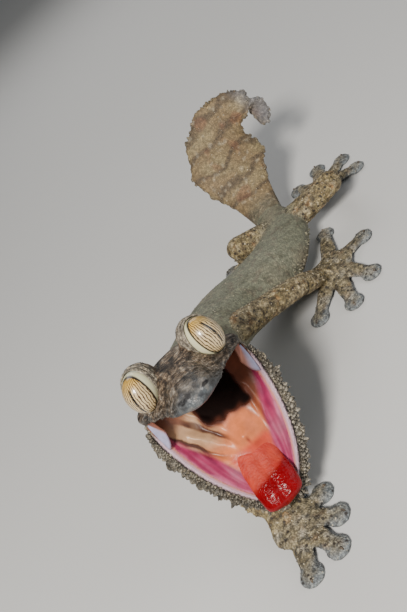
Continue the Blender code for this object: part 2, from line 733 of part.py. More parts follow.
def build_limb(leg, material, rng):
    """Upper length, lower length and the spread hand or foot."""
    upper, lower, hand = leg["names"]
    first = add(upper, skin_rings(upper_rings(leg)), material)
    boolean(first, [torso_cutter()], "DIFFERENCE")
    second = add(lower, skin_rings(lower_rings(leg)), material)
    seat = add("seat", skin_rings(upper_rings(leg, GAP)), None)
    boolean(second, [seat, torso_cutter()], "DIFFERENCE")
    fringe = limb_lobes(rng, lambda t: lower_frame(leg, t), leg["wide"][2], leg["fringe"], 6)
    boolean(second, fringe, "UNION")
    here, ahead, side, up = lower_frame(leg, 1.0)
    wrist = here + ahead * (GAP / 2.0)
    palm = Vector((leg["palm"][0], leg["palm"][1], 2.9))
    rings = [oval(wrist, side, up, leg["wide"][3], leg["thick"][3], leg["thick"][3], 12)]
    for t, wide, high in ((0.35, 5.6, 3.0), (0.7, 7.4, 2.8), (1.0, 8.4, 2.5), (1.45, 7.4, 2.1),
                          (2.0, 4.4, 1.3)):
        centre = here.lerp(palm, min(t, 1.0))
        flat = Vector((palm.x - here.x, palm.y - here.y, 0.0))
        if t > 1.0:
            centre = palm + flat * (t - 1.0)
        centre.z = max(centre.z, 2.9)
        turn = ease(0.0, 0.9, t)
        go = (ahead * (1.0 - turn) + flat.normalized() * turn).normalized()
        across = side - go * side.dot(go)
        level = Vector((-flat.y, flat.x, 0.0)).normalized()
        if level.dot(side) < 0.0:
            level = -level
        across = (across.normalized() * (1.0 - turn) + level * turn).normalized()
        over = across.cross(go).normalized()
        if over.z < 0.0:
            over = -over
        rings.append(oval(centre, across, over, wide, high, high, 12))
    whole = add(hand, skin_rings(rings), material)
    extras = []
    for n, (angle, reach) in enumerate(leg["toes"]):
        flat = Vector((math.cos(math.radians(angle)), math.sin(math.radians(angle)), 0.0))
        pad = Vector((palm.x + flat.x * reach, palm.y + flat.y * reach, 0.0))
        start = Vector((palm.x + flat.x * 1.5, palm.y + flat.y * 1.5, 0.0))
        extras.append(toe("toe", start, pad, 0.3))
        extras.append(pad_disc("pad", pad, flat))
    boolean(whole, extras, "UNION")


def centre_on_floor():
    """Moves everything so the box is centred over the origin and stands on the floor."""
    low = Vector((1e9, 1e9, 1e9))
    high = Vector((-1e9, -1e9, -1e9))
    parts = [part for part in bpy.context.scene.objects if part.type == "MESH"]
    for part in parts:
        for vert in part.data.vertices:
            for axis in range(3):
                low[axis] = min(low[axis], vert.co[axis])
                high[axis] = max(high[axis], vert.co[axis])
    shift = Vector((-(low.x + high.x) / 2.0, -(low.y + high.y) / 2.0, -low.z))
    for part in parts:
        part.data.transform(Matrix.Translation(shift))
        part.data.update()


def main():
    skin = paint("head_skin", SKIN, 0.6)
    jaw_skin = paint("jaw_skin", PALE_SKIN, 0.6)
    tongue = paint("tongue_flesh", MOUTH_PINK, 0.25)
    eye = paint("eye_surface", EYE_GOLD, 0.1)
    body = paint("body_skin", SKIN, 0.65)
    tail = paint("tail_skin", PALE_SKIN, 0.7)
    limb = paint("limb_skin", PALE_SKIN, 0.65)
    build_head(skin)
    rng = random.Random(SEED)
    build_jaw(jaw_skin, rng)
    build_tongue(tongue)
    build_eyes(eye)
    build_torso(body, rng)
    build_tail(tail)
    for leg in LEGS.values():
        build_limb(leg, limb, rng)
    centre_on_floor()


main()
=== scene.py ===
import bpy
import bmesh
import math
import random
from mathutils import Vector, Matrix, noise
from mathutils.bvhtree import BVHTree


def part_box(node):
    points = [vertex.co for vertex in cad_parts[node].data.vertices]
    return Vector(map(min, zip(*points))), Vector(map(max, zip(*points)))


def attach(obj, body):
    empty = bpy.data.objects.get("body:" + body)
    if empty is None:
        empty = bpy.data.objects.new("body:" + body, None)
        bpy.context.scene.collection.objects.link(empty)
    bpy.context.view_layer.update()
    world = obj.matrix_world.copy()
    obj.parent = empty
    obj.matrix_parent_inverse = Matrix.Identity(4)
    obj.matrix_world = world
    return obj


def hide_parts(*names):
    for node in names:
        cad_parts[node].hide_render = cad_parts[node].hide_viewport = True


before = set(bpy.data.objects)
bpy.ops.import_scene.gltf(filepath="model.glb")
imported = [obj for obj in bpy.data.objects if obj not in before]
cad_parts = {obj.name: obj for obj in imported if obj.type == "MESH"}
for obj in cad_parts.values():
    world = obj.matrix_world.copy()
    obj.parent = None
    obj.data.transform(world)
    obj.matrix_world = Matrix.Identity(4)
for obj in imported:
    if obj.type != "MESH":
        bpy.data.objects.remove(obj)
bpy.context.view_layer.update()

scene = bpy.context.scene
rng = random.Random(23)

MM = 0.001
# Middle between the corners of the mouth, axes of the skull and of the open lower jaw
MOUTH = Vector((0.0, 0.0, 48.0))
FORWARD = Vector((0.019, -0.922, 0.388)).normalized()
LEFT = Vector((0.997, -0.008, -0.068)).normalized()
UP = FORWARD.cross(LEFT).normalized()
LEFT = UP.cross(FORWARD).normalized()
GAPE = math.radians(80.0)
JAW_FORWARD = FORWARD * math.cos(GAPE) - UP * math.sin(GAPE)
JAW_UP = FORWARD * math.sin(GAPE) + UP * math.cos(GAPE)
# Sizes of the lower jaw, the upper lip and the eyes, and the left eye's place along the skull
JAW_LENGTH = 43.0
JAW_HALF_WIDTH = 18.6
LIP_LENGTH = 35.4
LIP_HALF_WIDTH = 18.4
EYE_CENTRE = (11.2, 10.2, 10.5)
EYE_RADIUS = 6.2
SIDES = {"left": 1.0, "right": -1.0}
# Nodes that the one skin covers
BODY = ("chest", "belly", "hips")
TAIL = ("tail_base", "tail_leaf", "tail_tip")
LIMBS = ("upper_arm_left", "forearm_left", "hand_left", "upper_arm_right", "forearm_right",
         "hand_right", "thigh_left", "shank_left", "foot_left", "thigh_right", "shank_right",
         "foot_right")
FLESH = ("head", "lower_jaw", "neck") + BODY + TAIL + LIMBS


def raw_head(left, up, forward):
    """A point along the skull's axes, before the model was centred on the floor."""
    return (MOUTH + LEFT * left + UP * up + FORWARD * forward) * MM


low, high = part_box("eye_left")
SHIFT = (Vector(low) + Vector(high)) / 2.0 - raw_head(*EYE_CENTRE)


def in_head(left, up, forward):
    """A point along the skull's axes, in metres."""
    return raw_head(left, up, forward) + SHIFT


def in_jaw(left, up, along):
    """A point along the open lower jaw's axes, in metres."""
    return (MOUTH + LEFT * left + JAW_UP * up + JAW_FORWARD * along) * MM + SHIFT


def head_place(point):
    """Left, up and forward of a point along the skull's axes, in millimetres."""
    d = (point - SHIFT) / MM - MOUTH
    return d.dot(LEFT), d.dot(UP), d.dot(FORWARD)


def jaw_place(point):
    """Left, up and forward of a point along the lower jaw's axes, in millimetres."""
    d = (point - SHIFT) / MM - MOUTH
    return d.dot(LEFT), d.dot(JAW_UP), d.dot(JAW_FORWARD)


def eye_centre(sign):
    """Centre of the left eye for 1, of the right eye for -1."""
    left, up, forward = EYE_CENTRE
    return in_head(left * sign, up, forward)


def bow(along, length, half_width, bulge, close):
    """Half width of a jaw that narrows to a round front."""
    share = min(max(along, 0.0) / length, 1.0)
    return half_width * (1.0 - share ** bulge) ** (1.0 / close)


def jaw_width(along):
    """Half width of the lower jaw's rim."""
    return bow(along, JAW_LENGTH, JAW_HALF_WIDTH, 2.05, 1.5)


def lip_width(forward):
    """Half width of the upper lip."""
    return bow(forward, LIP_LENGTH, LIP_HALF_WIDTH, 1.25, 1.32)


def ease(start, end, value):
    """Zero below the start, one above the end, smooth between."""
    t = min(max((value - start) / (end - start), 0.0), 1.0)
    return t * t * (3.0 - 2.0 * t)


def fade(start, end, value):
    """One below the start, zero above the end, smooth between."""
    return 1.0 - ease(start, end, value)


def bell(*offsets):
    """One at the middle of a swelling, falling off with each offset from it."""
    return math.exp(-sum(offset ** 2 for offset in offsets))


def table(rows, value):
    """Straight steps between rows of (place, size)."""
    if value <= rows[0][0]:
        return rows[0][1]
    for (a, p), (b, q) in zip(rows, rows[1:]):
        if value <= b:
            return p + (q - p) * (value - a) / (b - a)
    return rows[-1][1]


def mix(a, b, t):
    """Two colours mixed."""
    return tuple(p + (q - p) * t for p, q in zip(a, b))


def coated(tone, *coats):
    """A colour with coats of (colour, share) laid over it in turn."""
    for colour, share in coats:
        tone = mix(tone, colour, share)
    return tone


def grain(point, size, seed=0.0):
    """Soft noise from -1 to 1 over features of a size in millimetres."""
    return noise.noise(point / (size * MM) + Vector((seed, seed * 1.7, seed * 2.3)))


# Layers that the skin's look reads
PAINT_LAYERS = ("tint", "finish")


def add_object(name, data):
    """An object put into the scene."""
    made = bpy.data.objects.new(name, data)
    scene.collection.objects.link(made)
    return made


def mesh_data(name, mesh):
    """Mesh data of a bmesh, which is freed."""
    data = bpy.data.meshes.new(name)
    mesh.to_mesh(data)
    mesh.free()
    return data


def pour_into(joined, part):
    """Adds a bmesh to another and frees it."""
    copy = mesh_data("copy", part)
    joined.from_mesh(copy)
    bpy.data.meshes.remove(copy)


def turn_outwards(mesh):
    """Makes all faces of a bmesh look outwards."""
    bmesh.ops.recalc_face_normals(mesh, faces=mesh.faces)


def linked_verts(start):
    """The starting vertices and all that edges join to them."""
    found = set(start)
    todo = list(found)
    while todo:
        vert = todo.pop()
        for edge in vert.link_edges:
            other = edge.other_vert(vert)
            if other not in found:
                found.add(other)
                todo.append(other)
    return found


def paint_layers(mesh):
    """Layers for what the skin's look reads: colour, then wetness, scales, streaks and dots."""
    for name in PAINT_LAYERS:
        mesh.verts.layers.float_color.new(name)
    return [mesh.verts.layers.float_color[name] for name in PAINT_LAYERS]


def finish_piece(name, mesh, material, nodes=()):
    """Object from a bmesh, smooth shaded, riding on the body."""
    data = mesh_data(name, mesh)
    for face in data.polygons:
        face.use_smooth = True
    data.materials.append(material)
    made = add_object(name, data)
    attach(made, "root")
    if nodes:
        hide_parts(*nodes)
    return made


# Numbers that the looks share
WHITE = (1.0, 1.0, 1.0, 1.0)
BUMP_DISTANCE = 0.0004


def fill_in(tree, made, inputs):
    """Links or sets the inputs of a node."""
    for key, value in inputs.items():
        if isinstance(value, bpy.types.NodeSocket):
            tree.links.new(value, made.inputs[key])
        else:
            made.inputs[key].default_value = value


def node_of(tree, kind, inputs, **settings):
    """Outputs of a new node with some of its settings and inputs."""
    made = tree.nodes.new("ShaderNode" + kind)
    for key, value in settings.items():
        setattr(made, key, value)
    fill_in(tree, made, inputs)
    return made.outputs


def attribute(tree, name):
    """Outputs of a painted attribute."""
    return node_of(tree, "Attribute", {}, attribute_name=name)


def own_place(tree):
    """Place on the piece itself."""
    return node_of(tree, "TexCoord", {})["Object"]


def clouds(tree, place, scale, detail, rough=0.5, distortion=0.0):
    """Cloudy noise from 0 to 1."""
    return node_of(tree, "TexNoise", {"Vector": place, "Scale": scale, "Detail": detail,
                                      "Roughness": rough, "Distortion": distortion})["Fac"]


def cells(tree, place, scale):
    """Distance from the middle of round cells."""
    return node_of(tree, "TexVoronoi", {"Vector": place, "Scale": scale}, feature="F1")["Distance"]


def ramp(tree, value, *stops):
    """Colour along a value, from two or more stops of (place, colour)."""
    made = tree.nodes.new("ShaderNodeValToRGB")
    fill_in(tree, made, {"Fac": value})
    marks = made.color_ramp.elements
    for count, (place, colour) in enumerate(stops):
        mark = marks[count] if count < 2 else marks.new(place)
        mark.position = place
        mark.color = (*colour, 1.0)
    return made.outputs["Color"]


def ranged(tree, value, given, wanted=(0.0, 1.0)):
    """A value brought from one range to another."""
    return node_of(tree, "MapRange", {"Value": value, "From Min": given[0], "From Max": given[1],
                                      "To Min": wanted[0], "To Max": wanted[1]})["Result"]


def maths(tree, operation, *values):
    """A sum with one to three values."""
    return node_of(tree, "Math", dict(enumerate(values)), operation=operation)["Value"]


def times(tree, a, b):
    """Two colours multiplied."""
    return node_of(tree, "VectorMath", {0: a, 1: b}, operation="MULTIPLY")["Vector"]


def scaled(tree, colour, strength):
    """A colour made lighter or darker by a value."""
    return node_of(tree, "VectorMath", {0: colour, "Scale": strength}, operation="SCALE")["Vector"]


def blend(tree, share, a, b, **settings):
    """Two colours mixed by a share."""
    return node_of(tree, "Mix", {"Factor": share, "A": a, "B": b}, data_type="RGBA",
                   **settings)["Result"]


def bumped(tree, height, strength, **settings):
    """Shading of a surface that a height raises a little."""
    return node_of(tree, "Bump", {"Height": height, "Strength": strength,
                                  "Distance": BUMP_DISTANCE}, **settings)["Normal"]


def new_look(name):
    """A node material with its Principled shader."""
    look = bpy.data.materials.new(name)
    look.use_nodes = True
    return look, look.node_tree, look.node_tree.nodes["Principled BSDF"]


# Colours of the dry skin
GREY_BROWN = (0.165, 0.130, 0.098)
BLUE_GREY = (0.088, 0.100, 0.110)
DARK_BROWN = (0.030, 0.022, 0.016)
CREAM = (0.560, 0.500, 0.370)
CROWN_PALE = (0.30, 0.255, 0.205)
SNOUT_PALE = (0.25, 0.225, 0.20)
SNOUT_SPOT = (0.030, 0.028, 0.030)
# Painted shade inside the nostrils
NOSTRIL_SHADE = (0.008, 0.007, 0.008)
JAW_GREY = (0.105, 0.092, 0.080)
JAW_TAN = (0.26, 0.215, 0.150)
TAN = (0.300, 0.245, 0.165)
OLIVE = (0.185, 0.190, 0.135)
BODY_SPOT = (0.085, 0.078, 0.052)
BODY_FLECK = (0.36, 0.34, 0.24)
LIMB_TAN = (0.275, 0.215, 0.105)
LIMB_SAND = (0.285, 0.235, 0.140)
LIMB_BAND = (0.085, 0.055, 0.028)
LIMB_RUST = (0.26, 0.13, 0.045)
LIMB_FLECK = (0.56, 0.47, 0.30)
HAND_GREY = (0.215, 0.195, 0.140)
# Pale patches on hands and feet: partly their own pale pattern, partly painted highlight
HAND_PALE_AND_HIGHLIGHT = (0.43, 0.40, 0.33)
HAND_SPOT = (0.035, 0.034, 0.032)
PAD_BLUE = (0.215, 0.245, 0.270)
TAIL_TAN = (0.240, 0.170, 0.090)
TAIL_SAND = (0.290, 0.225, 0.120)
TAIL_BAND = (0.105, 0.076, 0.050)
TAIL_GREY = (0.27, 0.27, 0.29)
RUST = (0.200, 0.090, 0.050)
SCALE_CREAM = (0.70, 0.62, 0.47)
KNOB_CREAM = (0.74, 0.67, 0.55)
LID_GREY = (0.40, 0.36, 0.29)

# Colours of the wet mouth
# Painted shade deep in the mouth and throat
THROAT_SHADE = (0.006, 0.0025, 0.002)
PALATE = (0.22, 0.08, 0.05)
PALATE_SIDE = (0.20, 0.075, 0.045)
LIP_PINK = (0.500, 0.350, 0.410)
LIP_INNER = (0.55, 0.20, 0.16)
# Painted shade in the crease between lip and jaw
LIP_CREASE_SHADE = (0.010, 0.008, 0.008)
MAGENTA = (0.290, 0.018, 0.072)
GUM_ROOT = (0.16, 0.05, 0.03)
GUM_PINK = (0.40, 0.09, 0.16)
GUM_DARK = (0.16, 0.010, 0.050)
GUM_PALE = (0.46, 0.12, 0.21)
GUM_ORANGE = (0.60, 0.22, 0.11)
PEACH = (0.630, 0.172, 0.062)
SALMON = (0.48, 0.056, 0.028)
FOLD_CREAM = (0.47, 0.275, 0.150)
# Painted shade in the creases between the throat's folds
FOLD_CREASE_SHADE = (0.040, 0.006, 0.005)
# Painted shade in the slit of the windpipe
WINDPIPE_SLIT_SHADE = (0.25, 0.04, 0.02)
THROAT_BROWN = (0.17, 0.050, 0.024)
CORNER_BROWN = (0.20, 0.075, 0.042)
# Brown painted half shade at the edge of the gullet's shade
GULLET_HALF_SHADE = (0.13, 0.036, 0.020)
MEMBRANE = (0.400, 0.385, 0.550)
MEMBRANE_ROSE = (0.46, 0.19, 0.13)
MEMBRANE_BROWN = (0.20, 0.065, 0.040)
MEMBRANE_EDGE = (0.15, 0.05, 0.03)
TONGUE_LIGHT = (0.47, 0.046, 0.024)
TONGUE_DARK = (0.41, 0.032, 0.018)
TONGUE_TIP = (0.20, 0.001, 0.004)


def head_colour(point):
    """Mottled grey-brown crown with lengthwise streaks, bluer toward the snout and lips."""
    left, up, forward = head_place(point)
    streak = noise.noise(Vector((left * 0.75, up * 0.5, forward * 0.12)))
    fine = grain(point, 1.4, 3.0)
    snout = ease(15.0, 38.0, forward + 5.0 * grain(point, 6.0, 5.0))
    side = fade(1.0, 7.5, up)
    patch = grain(point, 3.0, 33.0) + 0.5 * grain(point, 1.2, 36.0)
    return coated(GREY_BROWN,
                  (CROWN_PALE, ease(-0.1, 0.45, streak + 0.5 * fine) * 0.8),
                  (DARK_BROWN, ease(0.05, 0.38, -streak + 0.4 * fine) * 0.9),
                  (BLUE_GREY, min(1.0, 0.60 * snout + 0.55 * side)),
                  (SNOUT_PALE, 0.6 * ease(0.05, 0.5, patch) * snout),
                  (SNOUT_SPOT, 0.8 * ease(0.02, 0.45, -patch) * snout))


def jaw_colour(point):
    """Tan and grey scales, flecked with cream and dark brown."""
    fine = grain(point, 1.6, 9.0)
    wide = grain(point, 6.0, 2.0)
    return coated(JAW_GREY,
                  (JAW_TAN, ease(-0.4, 0.5, wide + 0.4 * fine)),
                  (CREAM, ease(0.12, 0.5, fine) * 0.5),
                  (DARK_BROWN, ease(0.15, 0.5, -fine) * 0.6))


def body_colour(point):
    """Smooth olive grey with tan patches, brown spots and pale flecks."""
    return coated(OLIVE,
                  (TAN, ease(-0.2, 0.6, grain(point, 16.0, 4.0)) * 0.55),
                  (GREY_BROWN, ease(0.1, 0.6, grain(point, 2.2, 6.0)) * 0.5),
                  (BODY_SPOT, ease(0.12, 0.5, grain(point, 4.2, 44.0)) * 0.45),
                  (BODY_FLECK, ease(0.2, 0.6, grain(point, 1.3, 47.0)) * 0.35))


def limb_colour(point, along):
    """Tan and grey in blurred bands with dark dots."""
    fine = grain(point, 1.4, 15.0)
    band = math.sin(along * 1.9 + 2.6 * grain(point, 5.0, 12.0))
    return coated(LIMB_TAN,
                  (LIMB_SAND, ease(-0.3, 0.4, grain(point, 9.0, 17.0))),
                  (LIMB_BAND, ease(0.25, 0.95, band) * 0.65),
                  (LIMB_RUST, ease(0.2, 0.5, grain(point, 2.6, 19.0)) * 0.6),
                  (LIMB_FLECK, ease(0.10, 0.50, fine) * 0.6),
                  (DARK_BROWN, ease(0.2, 0.5, -fine) * 0.7))


def tail_colour(point):
    """Tan and brown, blotched, with wavy darker bands, rusty patches and a greyer tip."""
    wide = grain(point, 9.0, 21.0)
    height = (point.z + 0.5 * point.y) / MM
    band = math.sin(height * 0.62 + 3.2 * wide)
    return coated(TAIL_TAN,
                  (TAIL_SAND, ease(-0.2, 0.6, wide)),
                  (TAIL_BAND, ease(0.20, 0.95, band) * 0.80),
                  (RUST, ease(0.22, 0.5, grain(point, 6.0, 27.0)) * 0.5),
                  (CREAM, ease(0.25, 0.6, grain(point, 2.0, 24.0)) * 0.30),
                  (TAIL_GREY, ease(86.0, 95.0, (point.x - SHIFT.x) / MM) * 0.8))


# Where the tail and limbs leave the body
TAIL_ROOT = Vector((63.3, 100.3, 13.2)) * MM + SHIFT
LIMB_ROOTS = [Vector(place) * MM + SHIFT for place in
              ((9.0, 34.0, 29.0), (5.0, 36.0, 29.0), (61.0, 88.0, 12.6))]
# Direction on the floor in which bands follow each other on a limb
LIMB_RUN = {"left_arm": (0.82, 0.57), "right_arm": (-0.3, -0.95), "left_leg": (0.7, 0.7),
            "right_leg": (-0.7, 0.7)}
# Near-black painted shade, wetness and scales of the wall behind the mouth
THROAT_PAINT = (THROAT_SHADE, 0.2, 0.0)
# Nostrils: distance from the middle and height, half sizes, and how far forward they start
NOSTRIL_PLACE = (3.9, 4.9)
NOSTRIL_SIZE = (1.15, 0.85)
NOSTRIL_START = 31.5


def toward_head(forward):
    """Zero at the back of the neck, one at the head."""
    return ease(-19.0, -7.0, forward)


def facing_throat(point, normal):
    """Whether a point is on the wall behind the mouth and looks out of it."""
    left, up, forward = head_place(point)
    return normal.dot(FORWARD) > 0.1 and up < 4.5 and abs(left) < 13.5


def head_paint(point, normal):
    """Paint of crown and wet palate; painted shade at the palate's back, behind the mouth, in the
    nostrils.
    """
    left, up, forward = head_place(point)
    side = abs(left)
    tone = head_colour(point)
    under = side < lip_width(forward) - 1.3 and -3.0 < forward < 33.0
    if under and up < 5.6 - 1.8 * ease(12.0, 15.5, side) and normal.dot(UP) < 0.1:
        # The palate is painted near black toward its back as shade.
        palate = coated(PALATE, (THROAT_SHADE, fade(18.0, 31.0, forward)),
                        (PALATE_SIDE, ease(6.0, 10.0, side)))
        fleshy = max(ease(2.0, 5.0, forward), fade(11.5, 14.5, side))
        return mix(tone, palate, fleshy), 0.3 * fleshy, 0.0
    # The wall behind the mouth is painted near black as shade.
    if forward < 1.5 and facing_throat(point, normal):
        return THROAT_PAINT
    scale = 1.0 - 0.62 * ease(22.0, 36.0, forward)
    nostril_side = (side - NOSTRIL_PLACE[0]) / NOSTRIL_SIZE[0]
    nostril_up = (up - NOSTRIL_PLACE[1]) / NOSTRIL_SIZE[1]
    # The nostril's opening is painted near black as shade.
    if math.hypot(nostril_side, nostril_up) < 1.0 and forward > NOSTRIL_START:
        return NOSTRIL_SHADE, 0.0, scale
    return tone, 0.65 * ease(24.0, 36.0, forward), scale


def jaw_paint(point, normal):
    """Paint of the scaly jaw, its pale lip over a crease painted near black as shade, and the gum
    inside.
    """
    left, up, along = jaw_place(point)
    beyond = abs(left) - jaw_width(along)
    if beyond < -0.8 and -7.5 < up < -1.1 and along > -1.0 and normal.dot(JAW_UP) > -0.2:
        return mix(GUM_ROOT, MAGENTA, ease(5.0, 10.0, along)), 0.3, 0.0
    tone = jaw_colour(point)
    if up <= -2.4 or along <= -1.0:
        return tone, 0.0, 1.0
    # Painted shade: the crease between the pale lip and the scaly jaw is painted near black.
    crease = ease(0.05, 0.45, beyond) * fade(0.75, 1.15, beyond)
    lip = fade(0.05, 0.45, beyond) * ease(-1.9, -1.2, up)
    lip *= fade(-0.3, 0.2, along - JAW_LENGTH)
    lip *= ease(2.0, 6.0, along)
    edge_tone = mix(LIP_PINK, LIP_INNER, ease(0.8, 1.3, -beyond))
    tone = coated(tone, (LIP_CREASE_SHADE, 0.97 * crease * ease(1.0, 4.0, along)), (edge_tone, lip))
    return tone, 0.6 * lip, 1.0 - lip


def limb_paint(point, node, body):
    """Colour of a limb: like the body at its root, cooler at the hand or foot, pads blue."""
    part, side = node.rsplit("_", 1)
    run = LIMB_RUN[side + ("_leg" if part in ("thigh", "shank", "foot") else "_arm")]
    tone = limb_colour(point, (point.x * run[0] + point.y * run[1]) / MM)
    height = point.z / MM
    if part in ("hand", "foot"):
        cool = fade(3.5, 8.0, height)
        return coated(tone, (HAND_GREY, 0.45 * cool),
                      # Pale patches: partly the hand's own pattern, partly painted highlight
                      (HAND_PALE_AND_HIGHLIGHT, 0.7 * cool * ease(0.10, 0.45, grain(point, 3.4, 61.0))),
                      (HAND_SPOT, 0.8 * cool * ease(0.16, 0.36, grain(point, 1.3, 63.0))),
                      (PAD_BLUE, 0.85 * fade(1.4, 3.0, height)))
    if part in ("upper_arm", "thigh"):
        near = min((point - root).length for root in LIMB_ROOTS) / MM
        return mix(body, tone, ease(6.0, 15.0, near + 2.5 * grain(point, 3.0, 50.0)))
    return tone


def skin_paint(point, normal, node):
    """Colour, wetness and strength of scales at a point of the skin."""
    if node == "head":
        return head_paint(point, normal)
    up, forward = head_place(point)[1:]
    in_mouth = node == "neck" and up > -2.0 and jaw_place(point)[1] > -4.0 and forward > -6.0
    # The wall behind the mouth gets its near-black painted shade.
    if in_mouth and facing_throat(point, normal):
        return THROAT_PAINT
    if in_mouth or node == "lower_jaw":
        return jaw_paint(point, normal)
    body = body_colour(point)
    if node == "neck":
        near = toward_head(forward)
        return mix(body, head_colour(point), near), 0.0, 0.55 + 0.45 * near
    if node in BODY:
        return body, 0.0, 0.55
    if node in TAIL:
        share = ease(0.0, 13.0, (point - TAIL_ROOT).length / MM)
        return mix(body, tail_colour(point), share), 0.0, 0.6
    return limb_paint(point, node, body), 0.0, 0.9


def streak_lines(tree, place):
    """Wavy beaded streaks that run across the crown, dark brown to pale."""
    turned = {}
    for axis, often, socket in ((LEFT, 330.0, "X"), (UP, 1250.0, "Y"), (FORWARD, 480.0, "Z")):
        turned[socket] = node_of(tree, "VectorMath", {0: place, 1: axis * often},
                                 operation="DOT_PRODUCT")["Value"]
    joined = node_of(tree, "CombineXYZ", turned)["Vector"]
    return ramp(tree, clouds(tree, joined, 1.0, 3.0, 0.6, 0.5), (0.38, (0.22, 0.17, 0.14)),
                (0.50, (1.05, 0.92, 0.80)), (0.66, (1.75, 1.80, 1.85)))


def skin_look():
    """Matt granular lizard skin, coloured by the painted attribute, wet where it is mouth."""
    look, tree, shader = new_look("granular_skin")
    tint = attribute(tree, "tint")["Color"]
    finish = attribute(tree, "finish")
    wet, scale, streaked = node_of(tree, "SeparateColor", {"Color": finish["Color"]})
    place = own_place(tree)
    grains = cells(tree, place, 1700.0)
    specks = ramp(tree, clouds(tree, place, 760.0, 5.0, 0.72), (0.34, (0.20, 0.17, 0.15)),
                  (0.52, (1.0, 0.98, 0.95)), (0.68, (2.1, 1.95, 1.65)))
    # Painted light and shade: each granule is lighter at its raised middle and darker in the gaps
    # between granules, where the bump sinks.
    specks = scaled(tree, specks, ranged(tree, grains, (0.15, 0.75), (1.20, 0.50)))
    tone = times(tree, tint, blend(tree, scale, WHITE, specks))
    tone = times(tree, tone, blend(tree, streaked, WHITE, streak_lines(tree, place)))
    dots = ranged(tree, cells(tree, place, 430.0), (0.15, 0.27), (0.9, 0.0))
    dots = maths(tree, "MULTIPLY", dots, finish["Alpha"])
    height = maths(tree, "MULTIPLY", grains, scale)
    fill_in(tree, shader, {
        "Base Color": blend(tree, dots, tone, (0.026, 0.020, 0.017, 1.0)),
        "Roughness": ranged(tree, wet, (0.0, 1.0), (0.62, 0.22)),
        "Specular IOR Level": 0.35,
        "Normal": bumped(tree, height, 0.75, invert=True)})
    return look


def wet_look(name, rough, coat, depth, fine, shine=0.3):
    """Smooth wet flesh, coloured by the painted attribute and duller where its alpha is low."""
    look, tree, shader = new_look(name)
    tint = attribute(tree, "tint")
    place = own_place(tree)
    veins = ranged(tree, clouds(tree, place, 420.0, 4.0), (0.3, 0.7), (0.82, 1.12))
    fill_in(tree, shader, {
        "Base Color": scaled(tree, tint["Color"], veins),
        "Roughness": ranged(tree, tint["Alpha"], (1.0, 0.0), (rough, 0.85)),
        "Specular IOR Level": shine,
        "Coat Weight": coat,
        "Coat Roughness": 0.08,
        "Normal": bumped(tree, clouds(tree, place, fine, 2.0), depth)})
    return look


def eye_look():
    """Cream-gold iris veined along a black slit, dark edge, pale band behind it."""
    look, tree, shader = new_look("veined_gold_eye")
    place = attribute(tree, "eye_place")["Vector"]
    parts = node_of(tree, "SeparateXYZ", {"Vector": place})
    turn = maths(tree, "ARCTAN2", parts["Y"], parts["X"])
    wander = clouds(tree, place, 3.6, 2.0)
    wave = maths(tree, "MULTIPLY", maths(tree, "MULTIPLY_ADD", wander, 0.24, turn), 42.0)
    wave = ranged(tree, maths(tree, "SINE", wave), (-1.0, 1.0))
    veins = ramp(tree, wave, (0.48, (0.66, 0.50, 0.27)), (0.88, (0.050, 0.022, 0.010)))
    iris = blend(tree, ranged(tree, parts["Z"], (0.25, 0.85)), veins, (1.0, 0.80, 0.30, 1.0),
                 blend_type="MULTIPLY")
    ragged = maths(tree, "MULTIPLY_ADD", wander, 0.175, -0.045)
    narrow = maths(tree, "LESS_THAN", maths(tree, "ABSOLUTE", turn), ragged)
    short = maths(tree, "LESS_THAN", maths(tree, "ABSOLUTE", parts["Z"]), 0.62)
    iris = blend(tree, maths(tree, "MULTIPLY", narrow, short), iris, (0.004, 0.003, 0.003, 1.0))
    window = attribute(tree, "window")["Fac"]
    band = ramp(tree, window, (0.0, (0.74, 0.74, 0.60)), (0.465, (0.70, 0.66, 0.42)),
                (0.478, (0.020, 0.012, 0.008)), (0.495, (0.030, 0.016, 0.008)))
    fill_in(tree, shader, {
        "Base Color": blend(tree, maths(tree, "GREATER_THAN", window, 0.497), band, iris),
        "Roughness": 0.32, "Coat Weight": 0.5, "Coat Roughness": 0.06})
    return look


def claw_look():
    """Dark brown horn in uneven tones."""
    look, tree, shader = new_look("claw_horn")
    tones = ramp(tree, clouds(tree, own_place(tree), 1400.0, 3.0),
                 (0.35, (0.020, 0.014, 0.010)), (0.70, (0.140, 0.100, 0.065)))
    fill_in(tree, shader, {"Base Color": tones, "Roughness": 0.3})
    return look


# Line of sight of each eye and line along its slit, along the skull's left, up and forward
SIGHT = {"left": (0.50, 0.02, 0.84), "right": (-0.48, -0.17, 0.85)}
SLIT = {"left": (-0.25, 0.58, 1.0), "right": (0.32, 0.48, 0.83)}
# Shares of a round eye's width across the slit and along it
EYE_NARROW = 0.83
EYE_LONG = 1.07
# Distances from the eye's centre between which the skin stops following its shape
EYE_SKIN = (7.2, 11.5)


def eye_axes(side):
    """Line of sight, line across the slit and line along the slit."""
    a, b, c = SIGHT[side]
    sight = (LEFT * a + UP * b + FORWARD * c).normalized()
    slit = Vector(SLIT[side])
    slit = (slit - sight * slit.dot(sight)).normalized()
    return sight, slit.cross(sight), slit


def oblong_eyes(place):
    """Place of a point with both eyes and the skin around them longer than wide."""
    for side, sign in SIDES.items():
        away = place - eye_centre(sign)
        near = fade(*EYE_SKIN, away.length / MM)
        if near > 0.0:
            sight, across, slit = eye_axes(side)
            place = place + across * (away.dot(across) * (EYE_NARROW - 1.0) * near)
            place = place + slit * (away.dot(slit) * (EYE_LONG - 1.0) * near)
    return place


# Size of the skin's cells, growth that closes the gaps between solids, share of it taken back
SKIN_CELL = 0.7
SKIN_GROW = 0.18
TAKEN_BACK = 0.8
# Growth of soft toes and palms and of the cheeks, and how much the snout's tip thins out
TOE_PLUMP = 0.50
CHEEK_SWELL = 1.9
SNOUT_THIN = 0.38


